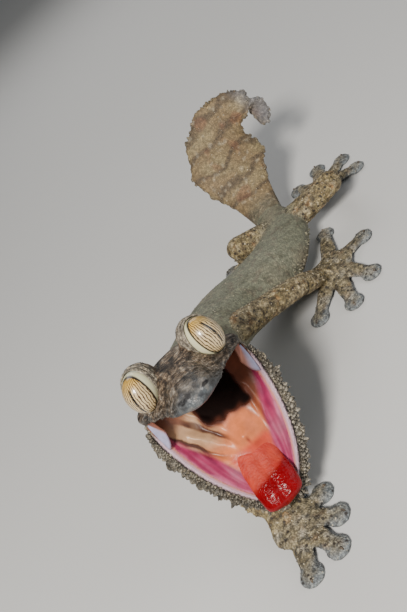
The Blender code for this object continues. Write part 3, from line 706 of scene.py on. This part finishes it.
def merged_flesh():
    """The flesh nodes as one closed surface, the narrow gaps between them closed."""
    joined = bmesh.new()
    for name in FLESH:
        part = bmesh.new()
        part.from_mesh(bpy.data.objects[name].data)
        bmesh.ops.remove_doubles(part, verts=part.verts, dist=0.01 * MM)
        part.normal_update()
        for vert in part.verts:
            vert.co += vert.normal * (SKIN_GROW * MM)
        pour_into(joined, part)
    data = mesh_data("flesh", joined)
    made = add_object("flesh", data)
    closer = made.modifiers.new("closer", "REMESH")
    closer.mode = "VOXEL"
    closer.voxel_size = SKIN_CELL * MM
    ready = made.evaluated_get(bpy.context.evaluated_depsgraph_get())
    whole = bmesh.new()
    whole.from_mesh(ready.data)
    bpy.data.objects.remove(made, do_unlink=True)
    bpy.data.meshes.remove(data)
    return whole


def flesh_faces():
    """All faces of the flesh nodes for finding the nearest, and the node of each."""
    verts = []
    faces = []
    owner = []
    for name in FLESH:
        data = bpy.data.objects[name].data
        start = len(verts)
        verts.extend(v.co.copy() for v in data.vertices)
        for face in data.polygons:
            faces.append([start + i for i in face.vertices])
            owner.append(name)
    return BVHTree.FromPolygons(verts, faces), owner


flesh_tree, face_owner = flesh_faces()


def node_at(point):
    """Name of the flesh node nearest to a point."""
    return face_owner[flesh_tree.find_nearest(point)[2]]


def shaped_head(place):
    """Place of a point of the head with swollen cheeks and a tip of the snout that thins out."""
    left, up, forward = head_place(place)
    swell = CHEEK_SWELL * bell((abs(left) - 17.5) / 4.0, (up - 4.4) / 2.9, (forward - 3.0) / 7.0)
    thin = SNOUT_THIN * ease(29.5, 36.5, forward) * (3.7 - up)
    return place + LEFT * (math.copysign(swell, left) * MM) + UP * (thin * MM)


def build_skin(look):
    """The whole animal's skin in one closed surface, painted by where it lies."""
    whole = merged_flesh()
    seen = set()
    islands = []
    for vert in whole.verts:
        if vert not in seen:
            islands.append(linked_verts([vert]))
            seen |= islands[-1]
    islands.sort(key=len)
    for island in islands[:-1]:
        bmesh.ops.delete(whole, geom=list(island), context="VERTS")
    for turn in range(2):
        bmesh.ops.smooth_vert(whole, verts=whole.verts, factor=0.5, use_axis_x=True,
                              use_axis_y=True, use_axis_z=True)
    whole.normal_update()
    tint, finish = paint_layers(whole)
    for vert in whole.verts:
        node = node_at(vert.co)
        tone, wet, scale = skin_paint(vert.co, vert.normal, node)
        vert[tint] = (*tone, 1.0)
        streaked = ease(0.30, 0.90, scale) if node == "head" else 0.0
        if node == "neck":
            streaked = toward_head(head_place(vert.co)[2]) * ease(0.5, 1.0, scale)
        dots = 1.0 if node in LIMBS else 0.35 * (1.0 - wet) * scale
        vert[finish] = (wet, scale, streaked, dots)
        vert.co = oblong_eyes(vert.co - vert.normal * (SKIN_GROW * TAKEN_BACK * MM))
        if node in ("head", "neck"):
            vert.co = shaped_head(vert.co)
        elif node in LIMBS:
            low_down = fade(2.5, 6.5, vert.co.z / MM)
            out = Vector((vert.normal.x, vert.normal.y, 0.25 * max(vert.normal.z, 0.0)))
            vert.co += out * (TOE_PLUMP * low_down * MM)
    return finish_piece("skin", whole, look, FLESH)


# Thickness of the mouth's lining and of the skin at its corners
LINING_WALL = 0.35
CORNER_WALL = 0.4
# Where the lining starts along the jaw, and its length
LINING_START = 0.6
LINING_LENGTH = 40.6
# Share of the half width where the gum starts, by place along the jaw
GUM_START = [(8.0, 0.88), (14.0, 0.76), (20.0, 0.62), (28.0, 0.50), (41.0, 0.48)]
# Alpha of the tint below which the lining is the gullet, painted near black as shade
GULLET_ALPHA = 0.40
# Mound of the windpipe: height, radius, and its middle left and along the jaw
MOUND_HEIGHT = 2.9
MOUND_RADIUS = 4.6
MOUND_PLACE = (1.2, 20.5)
# Height and spacing of the throat's folds
FOLD_HEIGHT = 0.90
FOLD_SPACING = 5.4


def thick_sheet(mesh, depth):
    """Gives an open sheet a wall, away from its outer side."""
    bmesh.ops.solidify(mesh, geom=list(mesh.faces), thickness=depth * MM)
    turn_outwards(mesh)


def throat_folds(left, along, point):
    """Height of the throat's folds and strength of the painted shade in the creases between them.
    """
    if left < 0.0:
        run = 0.85 * left - 0.53 * along + 1.1 * grain(point, 6.0)
        turn = (run + 12.0) * 2.0 * math.pi / FOLD_SPACING + 0.5 * grain(point, 2.6)
        wave = -math.cos(turn)
        gate = ease(1.0, 4.0, -left) * ease(0.0, 3.0, along) * fade(18.0, 24.0, along)
        # Painted shade follows the troughs of the folds.
        crease = ease(0.35, 0.85, -wave) * gate * (1.0 + 0.4 * grain(point, 3.5))
        return FOLD_HEIGHT * wave * gate, min(max(crease, 0.0), 1.0)
    turn = math.atan2(left - 1.0, 34.0 - along)
    wave = math.cos(turn * 17.0 + 2.4 * grain(point, 5.0))
    gate = ease(4.0, 8.0, left) * fade(20.0, 26.0, along)
    return 0.35 * wave * gate, 0.35 * ease(0.6, 0.98, -wave) * gate


def lining_height(left, along, reach, fold, slope):
    """Height of the floor, mound and ridge of the mouth and of the gum that rises from them."""
    mound_left, mound_along = MOUND_PLACE
    mound = MOUND_HEIGHT * bell((left - mound_left) / MOUND_RADIUS,
                                (along - mound_along) / MOUND_RADIUS)
    mound += 0.9 * bell((left - 1.0) / 1.7, (along - 20.8) / 1.5)
    up = -3.3 - 1.8 * fade(5.0, 14.0, along) + 1.9 * ease(19.0, 30.0, along)
    beside = ease(21.0, 27.0, along) * fade(6.5, 9.5, abs(left + 0.3))
    up = up + mound + fold * (1.0 - slope) + 0.5 * beside
    ridge = bell((left - 9.6 + 0.16 * (along - 16.0)) / 0.7)
    up += 0.7 * ridge * ease(7.0, 11.0, along) * fade(21.0, 26.0, along)
    up = up + (-1.1 - up) * slope ** 0.9
    up += 0.9 * ease(0.965, 0.998, reach)
    return max(up, -4.5 + 2.3 * ease(8.0, 15.0, abs(left)))


def gum_colour(across, along, slope, soft):
    """Magenta gum, pinker toward the lip, with fine lengthwise lines."""
    lines = noise.noise(Vector((across * 15.0, along * 0.09, 2.0)))
    return coated(MAGENTA,
                  (GUM_PINK, ease(0.85, 1.0, slope + 0.15 * soft)),
                  (GUM_DARK, 0.5 * ease(0.0, 0.4, lines)),
                  (GUM_PALE, 0.35 * ease(0.0, 0.4, -lines)))


def build_mouth_lining(look, dark_look):
    """Gum bands, floor, folds of the throat, the mound of the windpipe and the gullet's painted
    shade.
    """
    mesh = bmesh.new()
    bmesh.ops.create_grid(mesh, x_segments=84, y_segments=96, size=1.0)
    tint = mesh.verts.layers.float_color.new("tint")
    for vert in mesh.verts:
        across = vert.co.x
        reach = abs(across)
        along = LINING_START + LINING_LENGTH * (vert.co.y + 1.0) / 2.0
        left = across * max(jaw_width(along) - 0.5, 1.2)
        gum_start = table(GUM_START, along)
        point = Vector((left, along, 0.0)) * MM
        fold, crease = throat_folds(left, along, point)
        slope = ease(gum_start, 0.95, reach)
        vert.co = in_jaw(left, lining_height(left, along, reach, fold, slope), along)
        soft = grain(point, 3.0)
        # Painted shade of the gullet: near black deep in the throat, brown at its edge.
        deep = fade(11.0, 15.5, along + 1.6 * soft - 0.12 * left) * ease(-7.5, -3.8, left + soft)
        deep *= 1.0 - 0.95 * ease(9.0, 11.5, left + 0.5 * soft)
        gum = ease(gum_start - 0.06, gum_start + 0.05, reach)
        orange = ease(0.945, 0.958, reach) * fade(0.968, 0.980, reach) * ease(5.0, 9.0, along)
        tone = coated(PEACH,
                      (FOLD_CREAM, ease(0.0, 6.0, -left) * fade(14.0, 22.0, along)),
                      # Painted shade in the creases between the folds
                      (FOLD_CREASE_SHADE, crease * 0.92),
                      # Painted shade in the windpipe's slit on the mound
                      (WINDPIPE_SLIT_SHADE, bell((left - 1.4) / 0.45, (along - 22.6) / 1.3)),
                      (THROAT_BROWN, ease(5.0, 9.0, left) * fade(13.0, 23.0, along)),
                      (CORNER_BROWN, fade(3.0, 9.0, along) * ease(6.0, 9.0, -left)),
                      (SALMON, ease(22.0, 25.0, along) * fade(6.0, 8.0, abs(left - 0.3))),
                      (GULLET_HALF_SHADE, ease(0.0, 0.6, deep)),
                      (THROAT_SHADE, ease(0.3, 1.0, deep)),
                      (gum_colour(across, along, slope, soft), gum * ease(5.0, 10.0, along)),
                      (GUM_ORANGE, orange * 0.8),
                      (LIP_PINK, ease(0.972, 0.988, reach) * ease(3.0, 7.0, along)))
        vert[tint] = (*tone, 1.0 - max(0.9 * deep, 0.4 * gum))
    turn_outwards(mesh)
    middle = in_jaw(0.0, -1.0, 22.0)
    probe = min(mesh.faces, key=lambda face: (face.calc_center_median() - middle).length)
    if probe.normal.dot(JAW_UP) < 0.0:
        bmesh.ops.reverse_faces(mesh, faces=mesh.faces)
    # Faces painted as the gullet's shade go into a piece of their own, with a dull look that
    # hardly reflects.
    gullet = mesh.copy()
    for part, dark in ((gullet, True), (mesh, False)):
        tint = part.verts.layers.float_color["tint"]
        others = [face for face in part.faces if dark !=
                  (sum(v[tint][3] for v in face.verts) <= GULLET_ALPHA * len(face.verts))]
        bmesh.ops.delete(part, geom=others, context="FACES")
        thick_sheet(part, LINING_WALL)
    finish_piece("gullet", gullet, dark_look)
    finish_piece("mouth_lining", mesh, look)


def build_membranes(look):
    """Skin stretched between the jaws at both corners of the mouth."""
    mesh = bmesh.new()
    tint = mesh.verts.layers.float_color.new("tint")
    for sign in SIDES.values():
        made = bmesh.ops.create_grid(mesh, x_segments=20, y_segments=36, size=1.0)
        rosy = 0.30 if sign < 0.0 else 0.06
        for vert in made["verts"]:
            out = (vert.co.x + 1.0) / 2.0
            rise = (vert.co.y + 1.0) / 2.0
            hollow = math.sin(math.pi * rise)
            reach = 9.4 - 3.2 * hollow + 0.5 * math.sin(9.0 * rise) - 3.2 * ease(0.55, 1.0, rise)
            far = 0.4 + reach * out
            width = (jaw_width(far) - 0.9) * (1.0 - rise) + (lip_width(far) - 0.9) * rise
            sag = 2.2 * hollow * (0.3 + 0.7 * out)
            angle = GAPE * (1.0 - rise)
            ahead = FORWARD * math.cos(angle) - UP * math.sin(angle)
            place = MOUTH + LEFT * (sign * (width - sag)) + ahead * far
            vert.co = (place + UP * (2.6 * ease(0.72, 1.0, rise))) * MM + SHIFT
            tone = coated(MEMBRANE,
                          (MEMBRANE_ROSE, ease(rosy, rosy + 0.35, rise)),
                          (MEMBRANE_BROWN, ease(0.55, 0.95, rise)),
                          (MEMBRANE_EDGE, ease(0.93, 1.0, out) * 0.6))
            vert[tint] = (*tone, 1.0 - 0.8 * ease(0.2, 0.6, rise))
    turn_outwards(mesh)
    thick_sheet(mesh, CORNER_WALL)
    finish_piece("mouth_corners", mesh, look)


# Where the tongue starts along the jaw, and its length
TONGUE_START = 18.0
TONGUE_LENGTH = 25.4
# Half width, half height, middle and lift of the tongue by place along the jaw
TONGUE_WIDE = [(18.0, 3.0), (22.0, 6.0), (26.0, 6.9), (31.0, 6.6), (36.0, 6.9), (40.0, 6.6),
               (43.4, 5.6)]
TONGUE_HIGH = [(18.0, 0.6), (24.0, 1.6), (31.0, 2.2), (38.0, 2.7), (43.4, 2.6)]
TONGUE_MIDDLE = [(18.0, 0.2), (30.0, -0.3), (38.0, -0.9), (43.4, -1.5)]
TONGUE_LIFT = [(18.0, -4.4), (24.0, -3.1), (28.0, -1.9), (31.0, -1.0), (38.0, 1.8), (43.4, 2.3)]


def build_tongue(look):
    """Broad fleshy tongue, orange behind and deep red at its round wet tip."""
    mesh = bmesh.new()
    bmesh.ops.create_uvsphere(mesh, u_segments=64, v_segments=56, radius=1.0)
    tint = mesh.verts.layers.float_color.new("tint")
    for vert in mesh.verts:
        t = math.asin(max(-1.0, min(1.0, vert.co.z))) / math.pi + 0.5
        ring = math.hypot(vert.co.x, vert.co.y)
        c = vert.co.x / ring if ring > 1e-6 else 0.0
        s = vert.co.y / ring if ring > 1e-6 else 0.0
        along = TONGUE_START + TONGUE_LENGTH * t
        wide = table(TONGUE_WIDE, along) * math.sqrt(1.0 - ease(0.90, 1.0, t) ** 2)
        wide *= ease(0.0, 0.05, t) ** 0.5
        high_up = table(TONGUE_HIGH, along) * math.sqrt(1.0 - ease(0.88, 1.0, t) ** 2)
        high_up *= ease(0.0, 0.06, t)
        groove = 0.25 * bell(c * wide / 1.2) * max(s, 0.0) * ease(0.2, 0.5, t)
        left = table(TONGUE_MIDDLE, along) + wide * c
        vert.co = in_jaw(left, table(TONGUE_LIFT, along) + high_up * (s * (1.0 - groove)), along)
        soft = grain(vert.co, 2.2, 1.0)
        red = ease(32.4, 34.4, along + 0.22 * left + 0.5 * soft)
        tone = coated(TONGUE_LIGHT, (TONGUE_DARK, ease(-0.3, 0.4, soft)), (TONGUE_TIP, red))
        tone = mix(PEACH, tone, ease(21.0, 25.5, along))
        vert[tint] = (*tone, 0.50 + 0.50 * red)
    bmesh.ops.remove_doubles(mesh, verts=mesh.verts, dist=0.02 * MM)
    turn_outwards(mesh)
    finish_piece("tongue_flesh", mesh, look, ["tongue"])


# Half width and half length of the clear window, as shares of the eye, and its rise
WINDOW_WIDE = 0.82
WINDOW_LONG = 0.93
WINDOW_RISE = 0.26
# Value of the painted attribute at the window's edge, and gap between eye and lids
WINDOW_EDGE = 0.5
LID_GAP = 0.03


def build_eye(side, look):
    """Eyeball with a raised round window over the iris."""
    sight, across, slit = eye_axes(side)
    centre = eye_centre(SIDES[side])
    mesh = bmesh.new()
    bmesh.ops.create_uvsphere(mesh, u_segments=96, v_segments=64, radius=1.0)
    spot = mesh.verts.layers.float_vector.new("eye_place")
    window = mesh.verts.layers.float.new("window")
    for vert in mesh.verts:
        d = vert.co.normalized()
        vert[spot] = d
        reach = math.sqrt((d.y / WINDOW_WIDE) ** 2 + (d.z / WINDOW_LONG) ** 2)
        reach = WINDOW_EDGE / max(reach, 0.05) if d.x > 0.0 else 0.0
        vert[window] = min(reach, 1.0)
        size = EYE_RADIUS - WINDOW_RISE * fade(0.47, 0.53, reach) - LID_GAP
        place = sight * d.x + across * d.y + slit * d.z
        vert.co = oblong_eyes(centre + place * (size * MM))
    turn_outwards(mesh)
    finish_piece("eyeball_" + side, mesh, look, ["eye_" + side])


# Lid rolls: angle from the line of sight, half of its breadth, distance, thickness, pull
LID_ROLLS = ((90.0, 7.0, 6.38, 0.30, 9.0), (103.0, 6.0, 6.62, 0.42, 7.0),
             (116.0, 7.0, 6.85, 0.50, 5.0))


def build_lids(look):
    """Scaly eyelids: a rolled rim, pulled over the eye toward the crown, and folds behind it."""
    mesh = bmesh.new()
    tint, finish = paint_layers(mesh)
    for sign in SIDES.values():
        centre = eye_centre(sign)
        out = (LEFT * (0.42 * sign) + UP * 0.03 + FORWARD * 0.90).normalized()
        along = (UP - out * UP.dot(out)).normalized()
        crown = (LEFT * -sign - out * out.dot(LEFT * -sign)).normalized()
        for middle, half, reach, thick, pull in LID_ROLLS:
            ring = bmesh.ops.create_circle(mesh, segments=16, radius=1.0)["verts"]
            for vert in ring:
                angle = math.radians(middle + half * vert.co.y)
                far = reach + thick * vert.co.x
                vert.co = centre + (along * math.sin(angle) + out * math.cos(angle)) * (far * MM)
            edges = list({edge for vert in ring for edge in vert.link_edges})
            made = bmesh.ops.spin(mesh, geom=ring + edges, cent=centre, axis=out,
                                  angle=2.0 * math.pi, steps=96, use_merge=True)
            last = [v for v in made["geom_last"] if isinstance(v, bmesh.types.BMVert)]
            for vert in linked_verts(last + [v for v in ring if v.is_valid]):
                place = vert.co - centre
                ahead = place.dot(out)
                sideways = place - out * ahead
                angle = math.atan2(sideways.length, ahead)
                sideways.normalize()
                toward = max(0.0, sideways.dot(crown))
                start = math.radians(middle - half)
                share = 1.0 - ease(start, start + math.radians(2.2 * half), angle) * 0.75
                angle -= math.radians(pull) * toward ** 1.4 * share
                vert.co = centre + (sideways * math.sin(angle)
                                    + out * math.cos(angle)) * place.length
    bmesh.ops.remove_doubles(mesh, verts=mesh.verts, dist=0.002 * MM)
    for vert in mesh.verts:
        vert.co = oblong_eyes(vert.co)
    turn_outwards(mesh)
    for vert in mesh.verts:
        beads = grain(vert.co, 0.9, 40.0)
        vert.co += vert.normal * (0.16 * beads * MM)
        vert[tint] = (*mix(head_colour(vert.co), LID_GREY, 0.45 + 0.5 * beads), 1.0)
        vert[finish] = (0.0, 0.9, 0.0, 0.0)
    finish_piece("eye_rims", mesh, look)


# Number of scales that are made at a time
BATCH = 80
# Share of a node's faces that carry a raised scale, and its smallest and largest size
SMALL_SCALES = (0.18, 0.36)
SCALES = {"head": (0.020, 0.16, 0.28), "lower_jaw": (0.085, 0.30, 0.62),
          "neck": (0.03, *SMALL_SCALES), "chest": (0.012, *SMALL_SCALES),
          "belly": (0.010, *SMALL_SCALES), "hips": (0.014, *SMALL_SCALES),
          "tail_base": (0.03, *SMALL_SCALES), "tail_leaf": (0.025, *SMALL_SCALES),
          "tail_tip": (0.025, *SMALL_SCALES)}
LIMB_SCALES = (0.085, 0.22, 0.42)
# Height under which the skin carries no raised scales, so that the soles lie flat
SOLE_HEIGHT = 1.2
# Rows of knobs along the jaw: distance beyond the rim, drop below it, sizes and spacing
KNOB_ROWS = ((1.15, -0.65, 0.32, 0.60, 0.90), (1.75, -1.05, 0.38, 0.95, 1.10),
             (2.30, -1.60, 0.45, 1.20, 1.35), (2.80, -2.30, 0.52, 1.35, 1.50),
             (2.70, -3.30, 0.45, 1.10, 1.45), (2.40, -4.60, 0.40, 0.85, 1.45))
# Where the rows start and end along the jaw, and the step that gives the rim's slope
KNOBS_START = 2.0
KNOBS_END = 42.75
SLOPE_STEP = 0.4
# Share of edge points that carry a lobe, and half thickness of a lobe
LOBE_SHARE = 0.11
TAIL_LOBE_SHARE = 0.42
LOBE_THICK = 0.42
# Longest way through the tail leaf from its flat side, and how far it is followed from the rim
TAIL_FLAT = 6.2
TAIL_REACH = 12.0
# Least bend of the skin at the rim of the tail
RIM_BEND = 0.04


def blob_field(name, jobs, look, depth=0.40):
    """Many rounded scales, each with its place, axes, size and colour, painted darker at the base
    as shade.
    """
    joined = bmesh.new()
    tones = []
    for start in range(0, len(jobs), BATCH):
        batch = bmesh.new()
        for place, out, along, size, tone, taper, fine in jobs[start:start + BATCH]:
            over = out.cross(along)
            if fine:
                made = bmesh.ops.create_uvsphere(batch, u_segments=7, v_segments=5, radius=1.0)
            else:
                made = bmesh.ops.create_icosphere(batch, subdivisions=1, radius=1.0)
            for vert in made["verts"]:
                x, y, z = vert.co
                slim = 1.0 - taper * max(z, 0.0)
                vert.co = place + (along * (x * size[0] * slim) + over * (y * size[1] * slim)
                                   + out * (z * size[2])) * MM
                # Painted shade and light: each scale is darker toward its base and lighter toward
                # its tip, by the depth given.
                shade = 1.0 - depth + (depth + 0.20) * max(z, 0.0)
                tones.append((tone[0] * shade, tone[1] * shade, tone[2] * shade, 1.0))
        pour_into(joined, batch)
    turn_outwards(joined)
    tint, finish = paint_layers(joined)
    for vert, tone in zip(joined.verts, tones):
        vert[tint] = tone
        vert[finish] = (0.0, 0.7, 0.0, 0.0)
    finish_piece(name, joined, look)


def scale_tone(base, soft):
    """Colour of one raised scale: cream, tan or grey."""
    pick = rng.random()
    tone = mix(base, SCALE_CREAM, 0.12 + 0.80 * pick ** 2.5)
    return mix(tone, DARK_BROWN, 0.55 * max(0.0, soft) + 0.20 * rng.random())


def jaw_fringe(look):
    """Rows of round knobs and ragged clumps of lobes along the outside of the lower jaw."""
    jobs = []
    for side in SIDES.values():
        for beyond, drop, smallest, largest, spacing in KNOB_ROWS:
            along = KNOBS_START + rng.uniform(0.0, 1.0)
            while along < KNOBS_END:
                width = jaw_width(along)
                turn = jaw_width(along - SLOPE_STEP) - jaw_width(along + SLOPE_STEP)
                turn = min(turn / (2.0 * SLOPE_STEP), 6.0)
                rise = ease(1.0, 9.0, along)
                growth = ease(2.0, 18.0, along)
                out = (LEFT * side + JAW_FORWARD * turn).normalized()
                run = (JAW_FORWARD - LEFT * (side * turn)).normalized()
                base = in_jaw(side * width, drop * (0.4 + 0.6 * rise), along)
                base += out * (beyond * (0.45 + 0.55 * rise) * MM)
                clump = noise.noise(Vector((along * 0.55 + 40.0 * side, side * width * 0.2, 3.0)))
                size = rng.uniform(smallest, largest) * (0.75 + 0.55 * max(clump, 0.0) / 0.4)
                size *= 0.62 + 0.38 * growth
                lean = out + JAW_UP * rng.uniform(0.0, 0.9) + run * rng.uniform(-0.4, 0.4)
                lean.normalize()
                across = (run - lean * run.dot(lean)).normalized()
                tone = scale_tone(jaw_colour(base), grain(base, 2.0, 8.0))
                tone = mix(tone, KNOB_CREAM, rng.uniform(0.10, 0.70))
                tone = mix(tone, DARK_BROWN, 0.70 * rng.random() ** 2)
                sizes = (size, size * 0.85, size * 0.95)
                jobs.append((base, lean, across, sizes, tone, 0.35, True))
                often = 0.55 * ease(7.0, 17.0, along)
                if 2.0 < beyond and drop > -3.0 and clump > -0.05 and rng.random() < often:
                    reach = rng.uniform(1.1, 1.8) * (0.7 + 1.3 * clump)
                    for turn_out in (0.0, rng.uniform(0.5, 0.9), -rng.uniform(0.5, 0.9)):
                        point = (lean + run * turn_out).normalized()
                        wide = (run - point * run.dot(point)).normalized()
                        long = reach * (1.0 if turn_out == 0.0 else 0.6)
                        sizes = (rng.uniform(0.50, 0.80), LOBE_THICK, long)
                        jobs.append((base + point * (0.30 * long * MM), point, wide, sizes, tone,
                                     0.42, True))
                step = spacing * rng.uniform(0.75, 1.25) * (0.72 + 0.28 * growth)
                along += step / math.sqrt(1.0 + turn * turn)
    # The knobs get deeper painted shade at their bases than the other scales.
    blob_field("jaw_fringe", jobs, look, 0.78)


def skin_scales(skin, look):
    """Raised scales strewn over the skin, thick on the jaw and limbs, sparse on the body."""
    faces = list(skin.data.polygons)
    rng.shuffle(faces)
    jobs = []
    for face in faces:
        here = face.center
        normal = face.normal
        node = node_at(here)
        share, smallest, largest = SCALES.get(node, LIMB_SCALES)
        if rng.random() > share:
            continue
        tone, wet, scale = skin_paint(here, normal, node)
        if scale < 0.2 or wet > 0.1 or here.z < SOLE_HEIGHT * MM:
            continue
        left, up, forward = head_place(here)
        if node == "head" and (abs(left) > lip_width(forward) - 1.6 or up < 2.5):
            continue
        size = rng.uniform(smallest, largest)
        across = normal.orthogonal().normalized()
        tint = scale_tone(tone, grain(here, 3.0, 30.0))
        if node == "head":
            tint = mix(tone, tint, 0.45)
        jobs.append((here, normal, across, (size, size, size * 0.75), tint, 0.35, False))
    blob_field("raised_scales", jobs, look)


def edge_lobes(skin, look):
    """Soft ragged lobes along the flanks, the hind edges of the limbs and the rim of the tail."""
    data = skin.data
    bend = [0.0] * len(data.vertices)
    for edge in data.edges:
        a, b = edge.vertices
        turn = 1.0 - data.vertices[a].normal.dot(data.vertices[b].normal)
        bend[a] = max(bend[a], turn)
        bend[b] = max(bend[b], turn)
    jobs = []
    for vert in data.vertices:
        here = vert.co
        normal = vert.normal
        node = node_at(here)
        level = math.hypot(normal.x, normal.y)
        if node in BODY:
            if level < 0.93 or normal.z > 0.05 or rng.random() > LOBE_SHARE:
                continue
            length = rng.uniform(0.5, 1.3)
            wide = rng.uniform(0.4, 1.0)
        elif node.startswith(("forearm", "shank")):
            if level < 0.95 or abs(normal.z) > 0.25 or rng.random() > LOBE_SHARE:
                continue
            length = rng.uniform(0.5, 1.3)
            wide = rng.uniform(0.4, 0.8)
        elif node in ("tail_leaf", "tail_tip"):
            hit = flesh_tree.ray_cast(here - normal * (0.3 * MM), -normal, TAIL_REACH * MM)
            deep = hit[3] if hit[3] is not None else TAIL_REACH * MM
            flat = deep < TAIL_FLAT * MM or bend[vert.index] < RIM_BEND
            if flat or rng.random() > TAIL_LOBE_SHARE:
                continue
            length = rng.uniform(0.5, 1.1) * (0.7 + 1.4 * max(0.0, grain(here, 7.0, 71.0)))
            wide = rng.uniform(0.8, 1.8)
        else:
            continue
        along = normal.orthogonal() if node in TAIL else normal.cross(Vector((0.0, 0.0, 1.0)))
        along.normalize()
        tone = mix(skin_paint(here, normal, node)[0], CREAM, rng.uniform(0.0, 0.30))
        lean = (normal + along * rng.uniform(-0.4, 0.4)).normalized()
        across = (along - lean * along.dot(lean)).normalized()
        jobs.append((here - lean * (0.2 * MM), lean, across, (wide, LOBE_THICK, length), tone,
                     0.5, True))
    blob_field("edge_lobes", jobs, look)


# Radius and height of the toe pads, and thickness of a claw at its root
PAD_RADIUS = 3.7
PAD_HEIGHT = 2.2
CLAW_THICK = 0.55
# Palm or sole of each foot on the floor, and angle and reach of its toes from there
FEET = {
    "hand_left": (62.0, 57.6, [(66.0, 25.5), (12.0, 17.5), (-66.0, 17.8), (-104.0, 22.0),
                               (-141.0, 22.5)]),
    "hand_right": (-8.0, -22.0, [(62.0, 11.5), (14.0, 12.0), (-34.0, 13.5), (-72.0, 17.0),
                                 (-108.0, 17.5)]),
    "foot_left": (89.0, 104.5, [(-12.0, 15.5), (32.0, 18.5), (70.0, 19.5), (108.0, 18.0),
                                (152.0, 15.5)]),
    "foot_right": (49.0, 101.0, [(22.0, 13.5), (62.0, 16.0), (99.0, 17.0), (137.0, 16.0),
                                 (175.0, 13.5)]),
}


def build_claws(look):
    """A short hooked claw over the front of every toe pad."""
    mesh = bmesh.new()
    for palm_x, palm_y, toes in FEET.values():
        for turn, reach in toes:
            ahead = Vector((math.cos(math.radians(turn)), math.sin(math.radians(turn)), 0.0))
            beside = Vector((-ahead.y, ahead.x, 0.0))
            made = bmesh.ops.create_uvsphere(mesh, u_segments=10, v_segments=12, radius=1.0)
            for vert in made["verts"]:
                x, y, z = vert.co
                t = (z + 1.0) / 2.0
                slim = CLAW_THICK * (1.0 - 0.85 * t)
                far = reach + PAD_RADIUS * (0.42 + 0.48 * t)
                rise = PAD_HEIGHT - 0.15 + 0.35 * math.sin(math.pi * t) - 1.1 * t * t
                place = Vector((palm_x, palm_y, 0.0)) + ahead * far
                place += beside * (x * slim) + Vector((0.0, 0.0, rise + y * slim * 1.2))
                vert.co = Vector((place.x * MM + SHIFT.x, place.y * MM + SHIFT.y, place.z * MM))
    turn_outwards(mesh)
    finish_piece("toe_claws", mesh, look)


# The camera's right, rise and back, and its place along them from the mouth
CAMERA_AXES = ((0.7071, -0.3536, -0.6124), (0.7071, 0.3536, 0.6124), (0.0, -0.8660, 0.5))
CAMERA_PLACE = (2.98, 22.59, 245.23)
# Place, size, power and colour of each light
LIGHTS = {"key": ((-0.24, -0.52, 0.52), 0.14, 8.0, (1.0, 0.97, 0.92)),
          "fill": ((0.5, -0.35, 0.35), 0.5, 1.2, (0.92, 0.96, 1.0)),
          "back": ((0.1, 0.6, 0.5), 0.5, 1.8, (1.0, 1.0, 1.0))}
LIGHTS_AIM = Vector((0.0, -0.02, 0.03))
FLOOR_GREY = (0.62, 0.61, 0.59, 1.0)
ROOM_BLUE = (0.8, 0.85, 0.9, 1.0)


def camera():
    """Perspective camera that keeps the photograph's framing."""
    lens = bpy.data.cameras.new("camera")
    lens.lens = 50.0
    lens.sensor_width = 36.0
    lens.sensor_fit = "AUTO"
    lens.clip_start = 0.01
    axes = [Vector(axis) for axis in CAMERA_AXES]
    place = MOUTH.copy()
    for axis, far in zip(axes, CAMERA_PLACE):
        place += axis * far
    turn = Matrix(axes).transposed().to_4x4()
    turn.translation = place * MM + SHIFT
    made = add_object("camera", lens)
    made.matrix_world = turn
    scene.camera = made


def lights():
    """Soft square lights aimed at the head, and a dim bluish room."""
    for name, (place, size, power, colour) in LIGHTS.items():
        light = bpy.data.lights.new(name, "AREA")
        light.shape = "SQUARE"
        light.size = size
        light.energy = power
        light.color = colour
        made = add_object(name, light)
        made.location = place
        made.rotation_euler = (LIGHTS_AIM - Vector(place)).to_track_quat("-Z", "Y").to_euler()
    world = bpy.data.worlds.new("room")
    world.use_nodes = True
    fill_in(world.node_tree, world.node_tree.nodes["Background"],
            {"Color": ROOM_BLUE, "Strength": 0.14})
    scene.world = world


def floor():
    """Plain pale floor."""
    mesh = bmesh.new()
    bmesh.ops.create_grid(mesh, x_segments=1, y_segments=1, size=2.0)
    made = add_object("floor", mesh_data("floor", mesh))
    look, tree, shader = new_look("pale_floor")
    fill_in(tree, shader, {"Base Color": FLOOR_GREY, "Roughness": 0.9})
    made.data.materials.append(look)


camera()
floor()
lights()
granular = skin_look()
skin = build_skin(granular)
jaw_fringe(granular)
skin_scales(skin, granular)
edge_lobes(skin, granular)
build_lids(granular)
gum = wet_look("wet_gum", 0.34, 0.0, 0.16, 900.0)
# The gullet's painted shade gets a dull look that hardly reflects.
build_mouth_lining(gum, wet_look("gullet_shade", 0.8, 0.0, 0.1, 900.0, 0.06))
build_membranes(gum)
build_tongue(wet_look("wet_tongue", 0.20, 0.15, 0.6, 1500.0, 0.2))
build_claws(claw_look())
gold_eye = eye_look()
for side in SIDES:
    build_eye(side, gold_eye)
